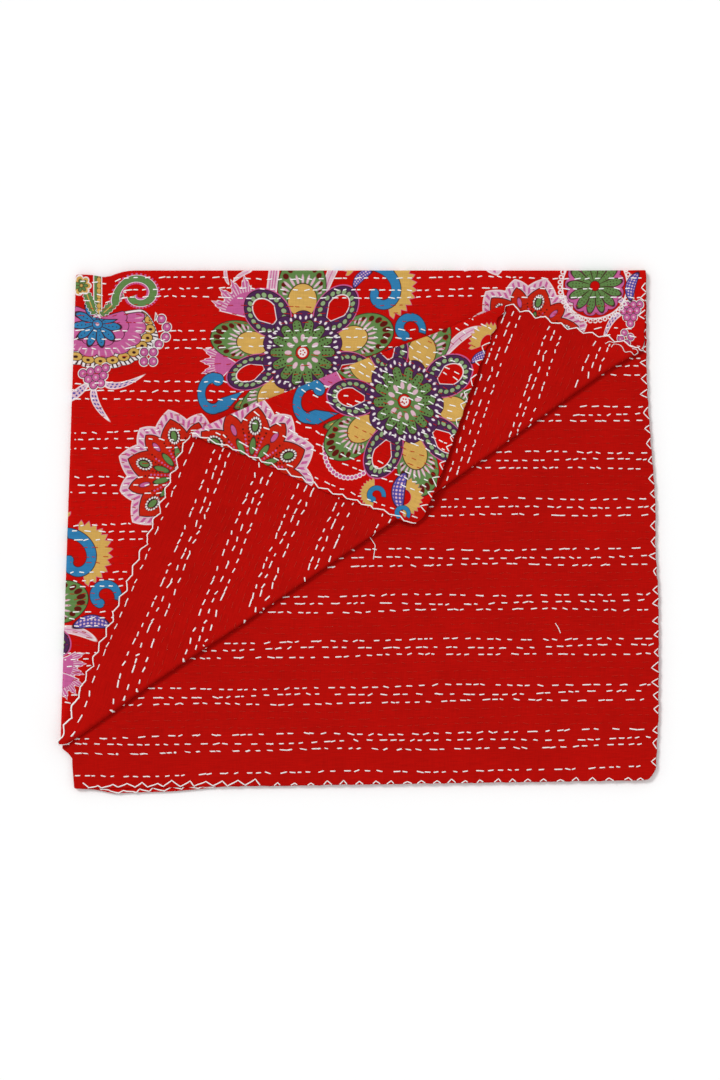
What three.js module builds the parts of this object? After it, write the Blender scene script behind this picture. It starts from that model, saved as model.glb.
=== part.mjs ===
// A kantha bedspread: a printed cotton face quilted to a plain cotton back, folded in four and laid flat.
// The free corner of the upper quarter is turned back over it, and the tip of that flap is turned over again.
import * as THREE from "three";

const { clamp, degToRad, smoothstep } = THREE.MathUtils;

// The quilt spread flat with its print up, in millimetres. Its two main folds cross at the flat origin:
// the quarter that ends on top lies right of it (x) and below it (y). The rows of stitching run along x.
const HALF_WIDTH = 757;
const TOP_LENGTH = 602;
const UNDER_LENGTH = 661;
const CORNER_ROUNDING = 18;

// The quilt through its thickness: two cloths a little apart, and folded layers that lie one pitch apart.
const CLOTH_THICKNESS = 1;
const CLOTH_GAP = 0.3;
const QUILT_HALF = CLOTH_THICKNESS + CLOTH_GAP / 2;
const LAYER_PITCH = 2.7;

// The main folds: the top one closes on one layer, and the left one wraps round the pair that this makes.
const FOLD_LEFT = -370.4;
const FOLD_TOP = 331;
const TOP_RADIUS = LAYER_PITCH / 2;
const LEFT_RADIUS = LAYER_PITCH;
const TOP_ARC = (TOP_RADIUS * Math.PI) / 2;
const LEFT_ARC = (LEFT_RADIUS * Math.PI) / 2;
const MIDDLE_HEIGHT = LEFT_RADIUS + TOP_RADIUS + QUILT_HALF;

// The two turns of the corner, as lines on the upper quarter. A flap stands up by its bend, then settles.
const FIRST_TURN = { x: -1.7, y: -607, angle: degToRad(34), radius: 3, settle: 60 };
const SECOND_TURN = { x: 376.2, y: -128.4, angle: degToRad(201.7), radius: 2.6, settle: 50 };
const TIP_DROOP = 30;
const FLAP_PULL = { most: 9, from: 420, settle: 90 };
const FLAP_CREEP = { along: 14, behind: 11, settle: 40, from: 300, fadeFrom: 380, fadeTo: 600 };

// The flap has slid a little from where its folds alone would put it: out at its near hem, with more at the
// bend of that hem and at its point, a sag further on, its side hem pulled in, the fold itself rolled back,
// a droop at the fold's end, and the fold of the tip rolled outwards over most of its length.
const NEAR_SLIDE = { out: 2.5, atBend: 3, bendX: 431, bendWide: 70, reach: 260 };
const NEAR_SAG = { down: 9, x: 600, wide: 95 };
const SIDE_SLIDE = { in: 11, y: -330, wide: 150, reach: 260 };
const POINT_SLIDE = { out: 10, down: 4, from: 40, to: 95, reach: 80 };
const FOLD_ROLL = { back: 4.8, from: 30, to: 130, wide: 60 };
const FOLD_DROOP = { down: 5, from: 700, y: -95, wide: 45 };
const TIP_ROLL = { out: 9, from: -140, to: 10, fadeFrom: 120, fadeTo: 280, wide: 60 };

// Groups of quilting rows draw the two cloths together; each is measured from the hem that it runs along.
const ROW_DIP = 0.25;
const ROW_REACH = 28;
const ROW_GROUPS = [
  { fromTopHem: 52, fromUnderHem: 56 },
  { fromTopHem: 108, fromUnderHem: 116 },
  { fromTopHem: 158, fromUnderHem: 176 },
  { fromTopHem: 208, fromUnderHem: 233 },
  { fromTopHem: 269, fromUnderHem: 291 },
  { fromTopHem: 328, fromUnderHem: 356 },
  { fromTopHem: 386, fromUnderHem: 416 },
  { fromTopHem: 448, fromUnderHem: 476 },
  { fromTopHem: 515, fromUnderHem: 537 },
  { fromTopHem: 578, fromUnderHem: 598 },
];

// How unevenly the pack lies: sides that lean, a slanted hem, a lower hem slipped out, a slumped corner
// and low swells.
const LEFT_LEAN = { out: -2, share: 0.033, foot: 13, footFrom: 276, footTo: 287, heel: 4, heelTo: 335 };
const RIGHT_LEAN = { out: 1, most: 16, from: -60, to: 230, foot: 4, footFrom: 230, footTo: 330 };
const RIGHT_BOW = { in: 3.5, y: -28, wide: 45 };
const HEM_SLANT = 0.015;
const LOWER_SLIP = { most: 7, from: 20, peak: 60, to: 240 };
const CORNER_SLUMP = { most: 3.6, x: -335, wide: 14, corner: 5.2, from: -345, to: -297, y: 230, deep: 100 };
const SWELL = { share: 0.05, along: 72, across: 86, skewAlong: 0.6, skewAcross: 0.4 };

// How far past the line of a turn a point lies, on the side that is turned.
function distancePast(turn, x, y) {
  return (x - turn.x) * Math.sin(turn.angle) - (y - turn.y) * Math.cos(turn.angle);
}

// A bend through half a turn, for a point of the quilt some way past its line and lifted off its middle.
function bendOver(turn, past, lift) {
  const swing = Math.min(past / turn.radius, Math.PI);
  const behind = Math.max(0, past - Math.PI * turn.radius);
  const across = (turn.radius - lift) * Math.sin(swing) - behind - past;
  const settled = (2 * turn.radius - LAYER_PITCH) * smoothstep(behind, 0, turn.settle);
  return {
    x: across * Math.sin(turn.angle),
    y: -across * Math.cos(turn.angle),
    rise: turn.radius - (turn.radius - lift) * Math.cos(swing) - settled,
    behind,
  };
}

// Height of the first flap over its quarter; what hangs out over its fold droops to the quarter below.
function flapHeight(behind) {
  const { radius, settle } = FIRST_TURN;
  if (behind < 0) return 2 * radius - (2 * radius + LAYER_PITCH) * smoothstep(-behind, 0, TIP_DROOP);
  return 2 * radius - (2 * radius - LAYER_PITCH) * smoothstep(behind, 0, settle);
}

// The flap lies a little slack: its right hem is drawn in towards its fold, and its left hem has crept out.
function flapShift(x, y, past) {
  const { angle, radius } = FIRST_TURN;
  const behind = past - Math.PI * radius;
  const turned = clamp(past / (Math.PI * radius), 0, 1);
  const rightEnd = smoothstep(x, FLAP_PULL.from, HALF_WIDTH);
  const pull = FLAP_PULL.most * rightEnd * smoothstep(behind, 0, FLAP_PULL.settle);
  const leftEnd = 1 - smoothstep(x, FLAP_CREEP.fadeFrom, FLAP_CREEP.fadeTo);
  const nearHem = leftEnd * smoothstep(-y, FLAP_CREEP.from, TOP_LENGTH);
  const along = FLAP_CREEP.along * nearHem * turned;
  const away = FLAP_CREEP.behind * nearHem * smoothstep(behind, 0, FLAP_CREEP.settle);
  return {
    x: -pull * Math.cos(2 * angle) - along * Math.cos(angle) - away * Math.sin(angle),
    y: -pull * Math.sin(2 * angle) - along * Math.sin(angle) + away * Math.cos(angle),
  };
}

// A bell of height one round a place, by how far off a value is.
const bell = (value, place, wide) => Math.exp(-(((value - place) / wide) ** 2));

// How far the fold of the tip has rolled outwards at a flat point of the flap: most in the middle of that
// fold, less towards its ends, and less further from it.
function tipRoll(x, y, past) {
  const first = bendOver(FIRST_TURN, Math.max(0, past), 0);
  const shift = flapShift(x, y, past);
  const flap = { x: x + first.x + shift.x, y: y + first.y + shift.y };
  const { angle } = SECOND_TURN;
  const along = (flap.x - SECOND_TURN.x) * Math.cos(angle) + (flap.y - SECOND_TURN.y) * Math.sin(angle);
  const started = smoothstep(along, TIP_ROLL.from, TIP_ROLL.to);
  const ended = smoothstep(along, TIP_ROLL.fadeFrom, TIP_ROLL.fadeTo);
  const beside = bell(distancePast(SECOND_TURN, flap.x, flap.y), 0, TIP_ROLL.wide);
  return TIP_ROLL.out * started * (1 - ended) * beside;
}

// How far a flat point of the flap has slid along the pack, with the roll and the droop of its fold.
function slideFlap(x, y) {
  const past = distancePast(FIRST_TURN, x, y);
  const turned = smoothstep(past, 0, Math.PI * FIRST_TURN.radius);
  const fromHem = y + TOP_LENGTH;
  const near = turned * (1 - smoothstep(fromHem, 0, NEAR_SLIDE.reach));
  const atBend = NEAR_SLIDE.atBend * bell(x, NEAR_SLIDE.bendX, NEAR_SLIDE.bendWide);
  const out = near * (NEAR_SLIDE.out + atBend) * (1 - smoothstep(x, NEAR_SLIDE.bendX, HALF_WIDTH));
  const sag = near * NEAR_SAG.down * bell(x, NEAR_SAG.x, NEAR_SAG.wide);
  const side = turned * (1 - smoothstep(HALF_WIDTH - x, 0, SIDE_SLIDE.reach));
  const pulledIn = SIDE_SLIDE.in * side * bell(y, SIDE_SLIDE.y, SIDE_SLIDE.wide);
  const nearPoint = 1 - smoothstep(x, POINT_SLIDE.from, POINT_SLIDE.to);
  const point = turned * nearPoint * (1 - smoothstep(fromHem, 0, POINT_SLIDE.reach));
  const atFoldEnd = smoothstep(x, FOLD_DROOP.from, HALF_WIDTH) * bell(y, FOLD_DROOP.y, FOLD_DROOP.wide);
  const alongFold = smoothstep(x, FOLD_ROLL.from, FOLD_ROLL.to);
  const rolled = FOLD_ROLL.back * alongFold * bell(past, 0, FOLD_ROLL.wide);
  const left = out + pulledIn + POINT_SLIDE.out * point + rolled * Math.sin(FIRST_TURN.angle);
  const sunk = sag + POINT_SLIDE.down * point + FOLD_DROOP.down * atFoldEnd;
  const down = sunk - rolled * Math.cos(FIRST_TURN.angle);
  const tip = turned * tipRoll(x, y, past);
  const right = tip * Math.sin(SECOND_TURN.angle) - left;
  return new THREE.Vector3(right, -tip * Math.cos(SECOND_TURN.angle) - down, 0);
}

// The turned corner: flat points beyond the first turn, and of those the ones beyond the second, swing over.
function turnCorner(x, y, lift) {
  const past = distancePast(FIRST_TURN, x, y);
  if (past <= 0) return { x, y, height: lift };
  const first = bendOver(FIRST_TURN, past, lift);
  const shift = flapShift(x, y, past);
  const flap = { x: x + first.x + shift.x, y: y + first.y + shift.y, height: first.rise };
  const pastAgain = distancePast(SECOND_TURN, flap.x, flap.y);
  if (first.behind === 0 || pastAgain <= 0) return flap;
  const second = bendOver(SECOND_TURN, pastAgain, -lift);
  const tip = { x: flap.x + second.x, y: flap.y + second.y };
  tip.height = flapHeight(-distancePast(FIRST_TURN, tip.x, tip.y)) + second.rise;
  return tip;
}

// The top fold swings the upper half under, then the left fold swings the left half under both.
function foldInFour({ x, y, height }) {
  const topSwing = clamp(y / TOP_RADIUS, -Math.PI / 2, Math.PI / 2);
  const level = -(TOP_RADIUS + height) * Math.sin(topSwing);
  const down = Math.max(0, Math.abs(y) - TOP_ARC) - (TOP_RADIUS + height) * Math.cos(topSwing);
  const leftSwing = clamp(x / LEFT_RADIUS, -Math.PI / 2, Math.PI / 2);
  const right = Math.max(0, Math.abs(x) - LEFT_ARC) - (LEFT_RADIUS + level) * Math.cos(leftSwing);
  const { most, from, peak, to } = LOWER_SLIP;
  const slip = most * (smoothstep(-x, from, peak) - smoothstep(-x, peak, to));
  return new THREE.Vector3(
    FOLD_LEFT + right,
    FOLD_TOP - down - slip,
    MIDDLE_HEIGHT + (LEFT_RADIUS + level) * Math.sin(leftSwing),
  );
}

// The lie of the whole pack: heights only stretch from the floor up, so what lies on the floor stays flat.
function settlePack({ x, y, z }) {
  const rightShare = (x - FOLD_LEFT) / HALF_WIDTH;
  const leftFoot = LEFT_LEAN.foot * smoothstep(-y, LEFT_LEAN.footFrom, LEFT_LEAN.footTo);
  const leftHeel = LEFT_LEAN.heel * smoothstep(-y, LEFT_LEAN.footTo, LEFT_LEAN.heelTo);
  const leftShift = LEFT_LEAN.out + LEFT_LEAN.share * y + leftFoot + leftHeel;
  const rightFoot = RIGHT_LEAN.foot * smoothstep(-y, RIGHT_LEAN.footFrom, RIGHT_LEAN.footTo);
  const rightLean = RIGHT_LEAN.most * smoothstep(y, RIGHT_LEAN.from, RIGHT_LEAN.to);
  const rightBow = RIGHT_BOW.in * bell(y, RIGHT_BOW.y, RIGHT_BOW.wide);
  const rightShift = RIGHT_LEAN.out - rightLean - rightFoot - rightBow;
  const slant = HEM_SLANT * x * ((FOLD_TOP - y) / UNDER_LENGTH);
  const dip = CORNER_SLUMP.most * bell(x, CORNER_SLUMP.x, CORNER_SLUMP.wide);
  const corner = CORNER_SLUMP.corner * (1 - smoothstep(x, CORNER_SLUMP.from, CORNER_SLUMP.to));
  const slump = (dip + corner) * smoothstep(y, CORNER_SLUMP.y, CORNER_SLUMP.y + CORNER_SLUMP.deep);
  const swellAlong = Math.sin((x + SWELL.skewAlong * y) / SWELL.along);
  const swellAcross = Math.cos((y - SWELL.skewAcross * x) / SWELL.across);
  return new THREE.Vector3(
    x + (1 - rightShare) * leftShift + rightShare * rightShift,
    y + slant - slump,
    z * (1 + SWELL.share * swellAlong * swellAcross),
  );
}

// Row groups as flat heights, and the dip of the cloths at a point; what lies on the floor is pressed flat.
const groupHeights = ROW_GROUPS.flatMap((group) => [
  group.fromTopHem - TOP_LENGTH,
  UNDER_LENGTH - group.fromUnderHem,
]).sort((a, b) => a - b);

function rowDip(x, y) {
  if (x < 0 && y < 0) return 0;
  const nearest = Math.min(...groupHeights.map((height) => Math.abs(height - y)));
  return ROW_DIP * Math.max(0, 1 - nearest / ROW_REACH);
}

// Lines of the flat grid: the arcs of the main folds in equal steps, the row groups, and midway between them.
const ARC_STEPS = [-1, -2 / 3, -1 / 3, 0, 1 / 3, 2 / 3, 1];
const betweenGroups = groupHeights.slice(1).map((height, i) => (height + groupHeights[i]) / 2);
const gridY = [
  -TOP_LENGTH,
  ...groupHeights,
  ...betweenGroups.filter((height) => Math.abs(height) > 2 * ROW_REACH),
  ...ARC_STEPS.map((step) => step * TOP_ARC),
  UNDER_LENGTH,
].sort((a, b) => a - b);
const GRID_X = [24, 60, 130, 240, 400, 570, HALF_WIDTH];
const gridX = [
  ...GRID_X.map((x) => -x),
  ...ARC_STEPS.map((step) => step * LEFT_ARC),
  ...GRID_X,
].sort((a, b) => a - b);

// A point past a turn's bend is the mirror image of the flat one; on the flap it has shifted a little too.
function mirrored(turn, x, y) {
  const across = 2 * distancePast(turn, x, y) - Math.PI * turn.radius;
  return [x - across * Math.sin(turn.angle), y + across * Math.cos(turn.angle)];
}
function onFlap(x, y) {
  const [flapX, flapY] = mirrored(FIRST_TURN, x, y);
  const shift = flapShift(x, y, distancePast(FIRST_TURN, x, y));
  return [flapX + shift.x, flapY + shift.y];
}
const onTip = (x, y) => mirrored(SECOND_TURN, ...onFlap(x, y));

// Lines that cut the cells, as distances from them: beside each turn, and across the tip that hangs out.
const besideFirst = (past) => (x, y) => distancePast(FIRST_TURN, x, y) - past;
const besideSecond = (past) => (x, y) => distancePast(SECOND_TURN, ...onFlap(x, y)) - past;
const acrossTip = (past) => (x, y) => distancePast(FIRST_TURN, ...onTip(x, y)) - past;
const BEND_STEPS = [0, 1, 2, 3, 4, 5, 6];
const bendAt = (turn, step) => (step / BEND_STEPS.at(-1)) * Math.PI * turn.radius;
const FIRST_SETTLES_AT = [14, 32, 60];
const SECOND_SETTLES_AT = [20, 50];
const TIP_LINES_AT = [-60, -32, -14, 0, 8, 16];
const cuts = [
  ...BEND_STEPS.map((step) => besideFirst(bendAt(FIRST_TURN, step))),
  ...FIRST_SETTLES_AT.map((behind) => besideFirst(Math.PI * FIRST_TURN.radius + behind)),
  ...BEND_STEPS.map((step) => besideSecond(bendAt(SECOND_TURN, step))),
  ...SECOND_SETTLES_AT.map((behind) => besideSecond(Math.PI * SECOND_TURN.radius + behind)),
  ...TIP_LINES_AT.map((past) => acrossTip(past)),
];

// Chords that round each corner of the outline, as distances outside it.
const ROUNDING_ANGLES = [22.5, 45, 67.5].map(degToRad);
const roundings = [1, -1].flatMap((sideX) =>
  [-TOP_LENGTH, UNDER_LENGTH].flatMap((edgeY) =>
    ROUNDING_ANGLES.map((angle) => (x, y) => {
      const inX = sideX * x - (HALF_WIDTH - CORNER_ROUNDING);
      const inY = Math.sign(edgeY) * y - (Math.abs(edgeY) - CORNER_ROUNDING);
      return inX * Math.cos(angle) + inY * Math.sin(angle) - CORNER_ROUNDING;
    }),
  ),
);

// A convex cell parted by a line into what lies inside it (negative distances) and outside it.
const ON_LINE = 0.05;
function partCell(cell, line) {
  const distances = cell.map(([x, y]) => line(x, y)).map((d) => (Math.abs(d) < ON_LINE ? 0 : d));
  if (distances.every((d) => d <= 0)) return [cell, null];
  if (distances.every((d) => d >= 0)) return [null, cell];
  const parts = [[], []];
  cell.forEach((corner, i) => {
    const next = (i + 1) % cell.length;
    if (distances[i] <= 0) parts[0].push(corner);
    if (distances[i] >= 0) parts[1].push(corner);
    if (distances[i] * distances[next] < 0) {
      const share = distances[i] / (distances[i] - distances[next]);
      const crossing = corner.map((value, axis) => value + share * (cell[next][axis] - value));
      parts[0].push(crossing);
      parts[1].push(crossing);
    }
  });
  return parts;
}

let cells = gridX.slice(1).flatMap((right, i) =>
  gridY.slice(1).map((upper, j) => [
    [gridX[i], gridY[j]],
    [right, gridY[j]],
    [right, upper],
    [gridX[i], upper],
  ]),
);
for (const line of cuts) cells = cells.flatMap((cell) => partCell(cell, line).filter(Boolean));
for (const line of roundings) cells = cells.map((cell) => partCell(cell, line)[0]).filter(Boolean);

// Cells share their corners by place; each cell is a fan of triangles, and edges used once are the hem.
const corners = [];
const cornerAt = new Map();
function cornerIndex([x, y]) {
  const key = `${x.toFixed(3)},${y.toFixed(3)}`;
  if (!cornerAt.has(key)) cornerAt.set(key, corners.push([x, y]) - 1);
  return cornerAt.get(key);
}
const fans = cells.flatMap((cell) => {
  const ring = cell.map(cornerIndex);
  return ring.slice(2).map((last, i) => [ring[0], ring[i + 1], last]);
});
const edges = new Set(fans.flatMap(([a, b, c]) => [`${a},${b}`, `${b},${c}`, `${c},${a}`]));
const hem = [...edges]
  .map((edge) => edge.split(",").map(Number))
  .filter(([a, b]) => !edges.has(`${b},${a}`));

// Where a flat point lies: the corner turned, the quilt folded in four, the flap slid, and the pack settled.
function layPoint(x, y, lift) {
  return settlePack(foldInFour(turnCorner(x, y, lift)).add(slideFlap(x, y)));
}

// One cloth as a closed panel between two lifts off the middle of the quilt, folded as it lies.
function panel(name, upperLift, lowerLift, colour) {
  const faces = [upperLift, lowerLift].map((lift) => corners.map(([x, y]) => layPoint(x, y, lift(x, y))));
  const count = corners.length;
  const upper = fans;
  const lower = fans.map(([a, b, c]) => [a + count, c + count, b + count]);
  const rim = hem.flatMap(([a, b]) => [
    [a + count, b + count, b],
    [a + count, b, a],
  ]);
  const geometry = new THREE.BufferGeometry().setFromPoints(faces.flat());
  geometry.setIndex([...upper, ...lower, ...rim].flat());
  geometry.computeVertexNormals();
  const mesh = new THREE.Mesh(geometry, new THREE.MeshStandardMaterial({ color: colour, roughness: 0.9 }));
  mesh.name = name;
  return mesh;
}

const bedspread = new THREE.Group();
bedspread.name = "kantha_bedspread";
bedspread.add(
  panel("printed_face", (x, y) => QUILT_HALF - rowDip(x, y), () => CLOTH_GAP / 2, 0xbc2040),
  panel("plain_back", () => -CLOTH_GAP / 2, (x, y) => rowDip(x, y) - QUILT_HALF, 0xaf1310),
);

export default bedspread;
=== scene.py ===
import math

import bpy
import numpy as np
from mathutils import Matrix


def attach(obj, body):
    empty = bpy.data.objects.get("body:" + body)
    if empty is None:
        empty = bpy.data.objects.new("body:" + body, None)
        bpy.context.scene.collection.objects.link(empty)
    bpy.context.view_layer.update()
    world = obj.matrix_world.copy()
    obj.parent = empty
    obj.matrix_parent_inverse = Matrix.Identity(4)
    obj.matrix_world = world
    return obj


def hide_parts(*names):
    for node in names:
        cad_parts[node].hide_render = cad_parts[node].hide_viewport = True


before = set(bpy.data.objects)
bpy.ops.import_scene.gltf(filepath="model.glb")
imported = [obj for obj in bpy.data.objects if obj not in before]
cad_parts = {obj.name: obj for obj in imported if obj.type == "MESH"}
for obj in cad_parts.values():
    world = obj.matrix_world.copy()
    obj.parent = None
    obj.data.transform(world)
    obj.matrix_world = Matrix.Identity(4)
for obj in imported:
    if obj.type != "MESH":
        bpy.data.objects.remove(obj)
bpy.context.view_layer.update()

# Printed face: a rectangle of fine cotton printed with flowers on a red ground, quilted by hand to a plain
# back. The quilt is folded at the top, then at the left, and the free corner of the upper quarter is turned
# back over it twice. Sizes are millimetres on the quilt spread flat, print up, from where the folds cross.
half_width = 757.0
top_length = 602.0
under_length = 661.0
corner_rounding = 18.0
cloth_gap = 0.3
quilt_half = 1.15
layer_pitch = 2.7
first_turn = {"x": -1.7, "y": -607.0, "angle": math.radians(34), "radius": 3.0, "settle": 60.0}
second_turn = {"x": 376.2, "y": -128.4, "angle": math.radians(201.7), "radius": 2.6, "settle": 50.0}
first_bend = math.pi * first_turn["radius"]
second_bend = math.pi * second_turn["radius"]


def ease(value, low, high):
    """Share of the way from low to high, held at 0 and 1 and rounded at both ends (3t² - 2t³)."""
    share = np.clip((value - low) / (high - low), 0, 1)
    return share * share * (3 - 2 * share)


def rise_and_fall(value, low, full, fade, end):
    """Eased up from 0 at low to 1 at full, and down again from fade to 0 at end."""
    return ease(value, low, full) * (1 - ease(value, fade, end))


def bell(value, place, wide):
    """A bell of height one round a place: e to the power of minus the squared distance in widths."""
    return np.exp(-(((value - place) / wide) ** 2))


def past_line(turn, x, y):
    """How far past the line of a turn a point lies: its distance along the line's normal."""
    return (x - turn["x"]) * math.sin(turn["angle"]) - (y - turn["y"]) * math.cos(turn["angle"])


def bend_over(turn, past, lift):
    """Half a turn round a roll of the turn's radius: sine and cosine of the arc, then straight back."""
    radius = turn["radius"]
    swing = np.minimum(past / radius, math.pi)
    behind = np.maximum(0, past - math.pi * radius)
    across = (radius - lift) * np.sin(swing) - behind - past
    settled = (2 * radius - layer_pitch) * ease(behind, 0, turn["settle"])
    rise = radius - (radius - lift) * np.cos(swing) - settled
    return across * math.sin(turn["angle"]), -across * math.cos(turn["angle"]), rise, behind


# The flap is slack: it is drawn in along its right hem and has crept out along its left one.
flap_pull = {"most": 9, "from": 420, "settle": 90}
flap_creep = {"along": 14, "behind": 11, "settle": 40, "from": 300, "fade_from": 380, "fade_to": 600}


def flap_shift(x, y, past):
    """How the slack flap lies: its right hem drawn in along the hem, its left hem crept out, both eased."""
    angle = first_turn["angle"]
    behind = past - first_bend
    pull = flap_pull["most"] * ease(x, flap_pull["from"], half_width) * ease(behind, 0, flap_pull["settle"])
    left_end = 1 - ease(x, flap_creep["fade_from"], flap_creep["fade_to"])
    near_hem = left_end * ease(-y, flap_creep["from"], top_length)
    along = flap_creep["along"] * near_hem * np.clip(past / first_bend, 0, 1)
    away = flap_creep["behind"] * near_hem * ease(behind, 0, flap_creep["settle"])
    shift_x = -pull * math.cos(2 * angle) - along * math.cos(angle) - away * math.sin(angle)
    shift_y = -pull * math.sin(2 * angle) - along * math.sin(angle) + away * math.cos(angle)
    return shift_x, shift_y


def turn_first(x, y, lift):
    """The corner turned back once: points past the first line swing over it and shift with the flap."""
    past = np.maximum(0, past_line(first_turn, x, y))
    bend_x, bend_y, rise, behind = bend_over(first_turn, past, lift)
    shift_x, shift_y = flap_shift(x, y, past)
    over = past > 0
    return np.where(over, x + bend_x + shift_x, x), np.where(over, y + bend_y + shift_y, y), rise, behind


# The tip of the flap droops where it reaches past the first turn, and curls up along its side hem.
tip_droop = 30.0
hem_curl = {"up": 5.5, "reach": 26, "from": 345, "full": 400, "fade": 530, "to": 595}


def flap_height(behind):
    """Height of the first flap over its quarter: it settles behind the fold, and droops in front of it."""
    radius = first_turn["radius"]
    drooped = 2 * radius - (2 * radius + layer_pitch) * ease(-behind, 0, tip_droop)
    settled = 2 * radius - (2 * radius - layer_pitch) * ease(behind, 0, first_turn["settle"])
    return np.where(behind < 0, drooped, settled)


def turn_corner(x, y, lift):
    """Both turns: what lies past the second line, on the flap, swings back over it and rests on the flap,
    with its side hem curling up off it."""
    flap_x, flap_y, height, behind = turn_first(x, y, lift)
    again = past_line(second_turn, flap_x, flap_y)
    bend_x, bend_y, rise, _ = bend_over(second_turn, np.maximum(0, again), -lift)
    tip_x = flap_x + bend_x
    tip_y = flap_y + bend_y
    near_hem = 1 - ease(half_width - x, 0, hem_curl["reach"])
    along_hem = rise_and_fall(-y, hem_curl["from"], hem_curl["full"], hem_curl["fade"], hem_curl["to"])
    curl = hem_curl["up"] * near_hem * along_hem
    tip_height = flap_height(-past_line(first_turn, tip_x, tip_y)) + rise + curl
    twice = (behind > 0) & (again > 0)
    return np.where(twice, tip_x, flap_x), np.where(twice, tip_y, flap_y), np.where(twice, tip_height, height)


# The two folds in four: where they lie in the pack, the rolls that they bend round, and how the lower
# quarters have slipped towards the near side.
fold_left = -370.4
fold_top = 331.0
top_radius = layer_pitch / 2
left_radius = layer_pitch
left_arc = left_radius * math.pi / 2
top_arc = top_radius * math.pi / 2
middle_height = left_radius + top_radius + quilt_half
lower_slip = {"most": 7, "from": 20, "peak": 60, "to": 240}


def fold_in_four(x, y, height):
    """The top fold, then the left one: each bends round its radius by a quarter turn either way."""
    top_swing = np.clip(y / top_radius, -math.pi / 2, math.pi / 2)
    level = -(top_radius + height) * np.sin(top_swing)
    down = np.maximum(0, np.abs(y) - top_arc) - (top_radius + height) * np.cos(top_swing)
    left_swing = np.clip(x / left_radius, -math.pi / 2, math.pi / 2)
    right = np.maximum(0, np.abs(x) - left_arc) - (left_radius + level) * np.cos(left_swing)
    slipped = ease(-x, lower_slip["from"], lower_slip["peak"])
    slipped = slipped - ease(-x, lower_slip["peak"], lower_slip["to"])
    lying_z = middle_height + (left_radius + level) * np.sin(left_swing)
    return fold_left + right, fold_top - down - lower_slip["most"] * slipped, lying_z


# How the turned flap has slid over the pack: along each hem, at its left point, and at both turns.
near_slide = {"out": 2.5, "at_bend": 3, "bend_x": 431, "bend_wide": 70, "reach": 260}
near_sag = {"down": 9, "x": 600, "wide": 95}
side_slide = {"in": 11, "y": -330, "wide": 150, "reach": 260}
point_slide = {"out": 10, "down": 4, "from": 40, "to": 95, "reach": 80}
fold_roll = {"back": 4.8, "from": 30, "to": 130, "wide": 60}
fold_droop = {"down": 5, "from": 700, "y": -95, "wide": 45}
tip_roll = {"out": 9, "from": -140, "to": 10, "fade_from": 120, "fade_to": 280, "wide": 60}


def roll_tip(x, y):
    """How far the fold of the tip has rolled out: most in its middle, eased to its ends, a bell across."""
    angle = second_turn["angle"]
    flap_x, flap_y, _, _ = turn_first(x, y, 0.0)
    along = (flap_x - second_turn["x"]) * math.cos(angle) + (flap_y - second_turn["y"]) * math.sin(angle)
    rolled = rise_and_fall(
        along, tip_roll["from"], tip_roll["to"], tip_roll["fade_from"], tip_roll["fade_to"]
    )
    beside = bell(past_line(second_turn, flap_x, flap_y), 0, tip_roll["wide"])
    return tip_roll["out"] * rolled * beside


def slide_flap(x, y):
    """How far a flat point of the flap has slid along the pack: bells and eases along each hem, fading
    inwards, with the roll of its fold and the droop at that fold's end."""
    past = past_line(first_turn, x, y)
    turned = ease(past, 0, first_bend)
    from_near = y + top_length
    near = turned * (1 - ease(from_near, 0, near_slide["reach"]))
    at_bend = near_slide["at_bend"] * bell(x, near_slide["bend_x"], near_slide["bend_wide"])
    out = near * (near_slide["out"] + at_bend) * (1 - ease(x, near_slide["bend_x"], half_width))
    sag = near * near_sag["down"] * bell(x, near_sag["x"], near_sag["wide"])
    side = turned * (1 - ease(half_width - x, 0, side_slide["reach"]))
    pulled_in = side_slide["in"] * side * bell(y, side_slide["y"], side_slide["wide"])
    near_point = 1 - ease(x, point_slide["from"], point_slide["to"])
    point = turned * near_point * (1 - ease(from_near, 0, point_slide["reach"]))
    at_fold_end = ease(x, fold_droop["from"], half_width) * bell(y, fold_droop["y"], fold_droop["wide"])
    rolled = fold_roll["back"] * ease(x, fold_roll["from"], fold_roll["to"])
    rolled = rolled * bell(past, 0, fold_roll["wide"])
    left = out + pulled_in + point_slide["out"] * point + rolled * math.sin(first_turn["angle"])
    sunk = sag + point_slide["down"] * point + fold_droop["down"] * at_fold_end
    tip = turned * roll_tip(x, y)
    right = tip * math.sin(second_turn["angle"]) - left
    up = rolled * math.cos(first_turn["angle"]) - tip * math.cos(second_turn["angle"]) - sunk
    return right, up


# Soft creases that the pack keeps: two ends in the lying pack, half width, and share of the height there.
creases = [
    {"ends": (-206.9, 102.8, -27.0, 38.6), "half": 9.0, "share": 0.075},
    {"ends": (-155.5, 64.3, 50.0, 0.0), "half": 8.0, "share": 0.06},
    {"ends": (56.0, -20.0, 62.0, -150.0), "half": 5.0, "share": 0.07},
    {"ends": (-318.0, 300.0, -322.0, -60.0), "half": 6.0, "share": 0.035},
]
crease_sway = 4
crease_sway_length = 31
crease_before = 15
crease_within = 25
wave_steepness = 0.000055
crumple_waves = np.random.default_rng(11)
wave_count = 26
wave_lengths = crumple_waves.uniform(24, 110, wave_count)
wave_bearings = crumple_waves.uniform(0, math.pi, wave_count)
wave_starts = crumple_waves.uniform(0, 2 * math.pi, wave_count)


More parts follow.
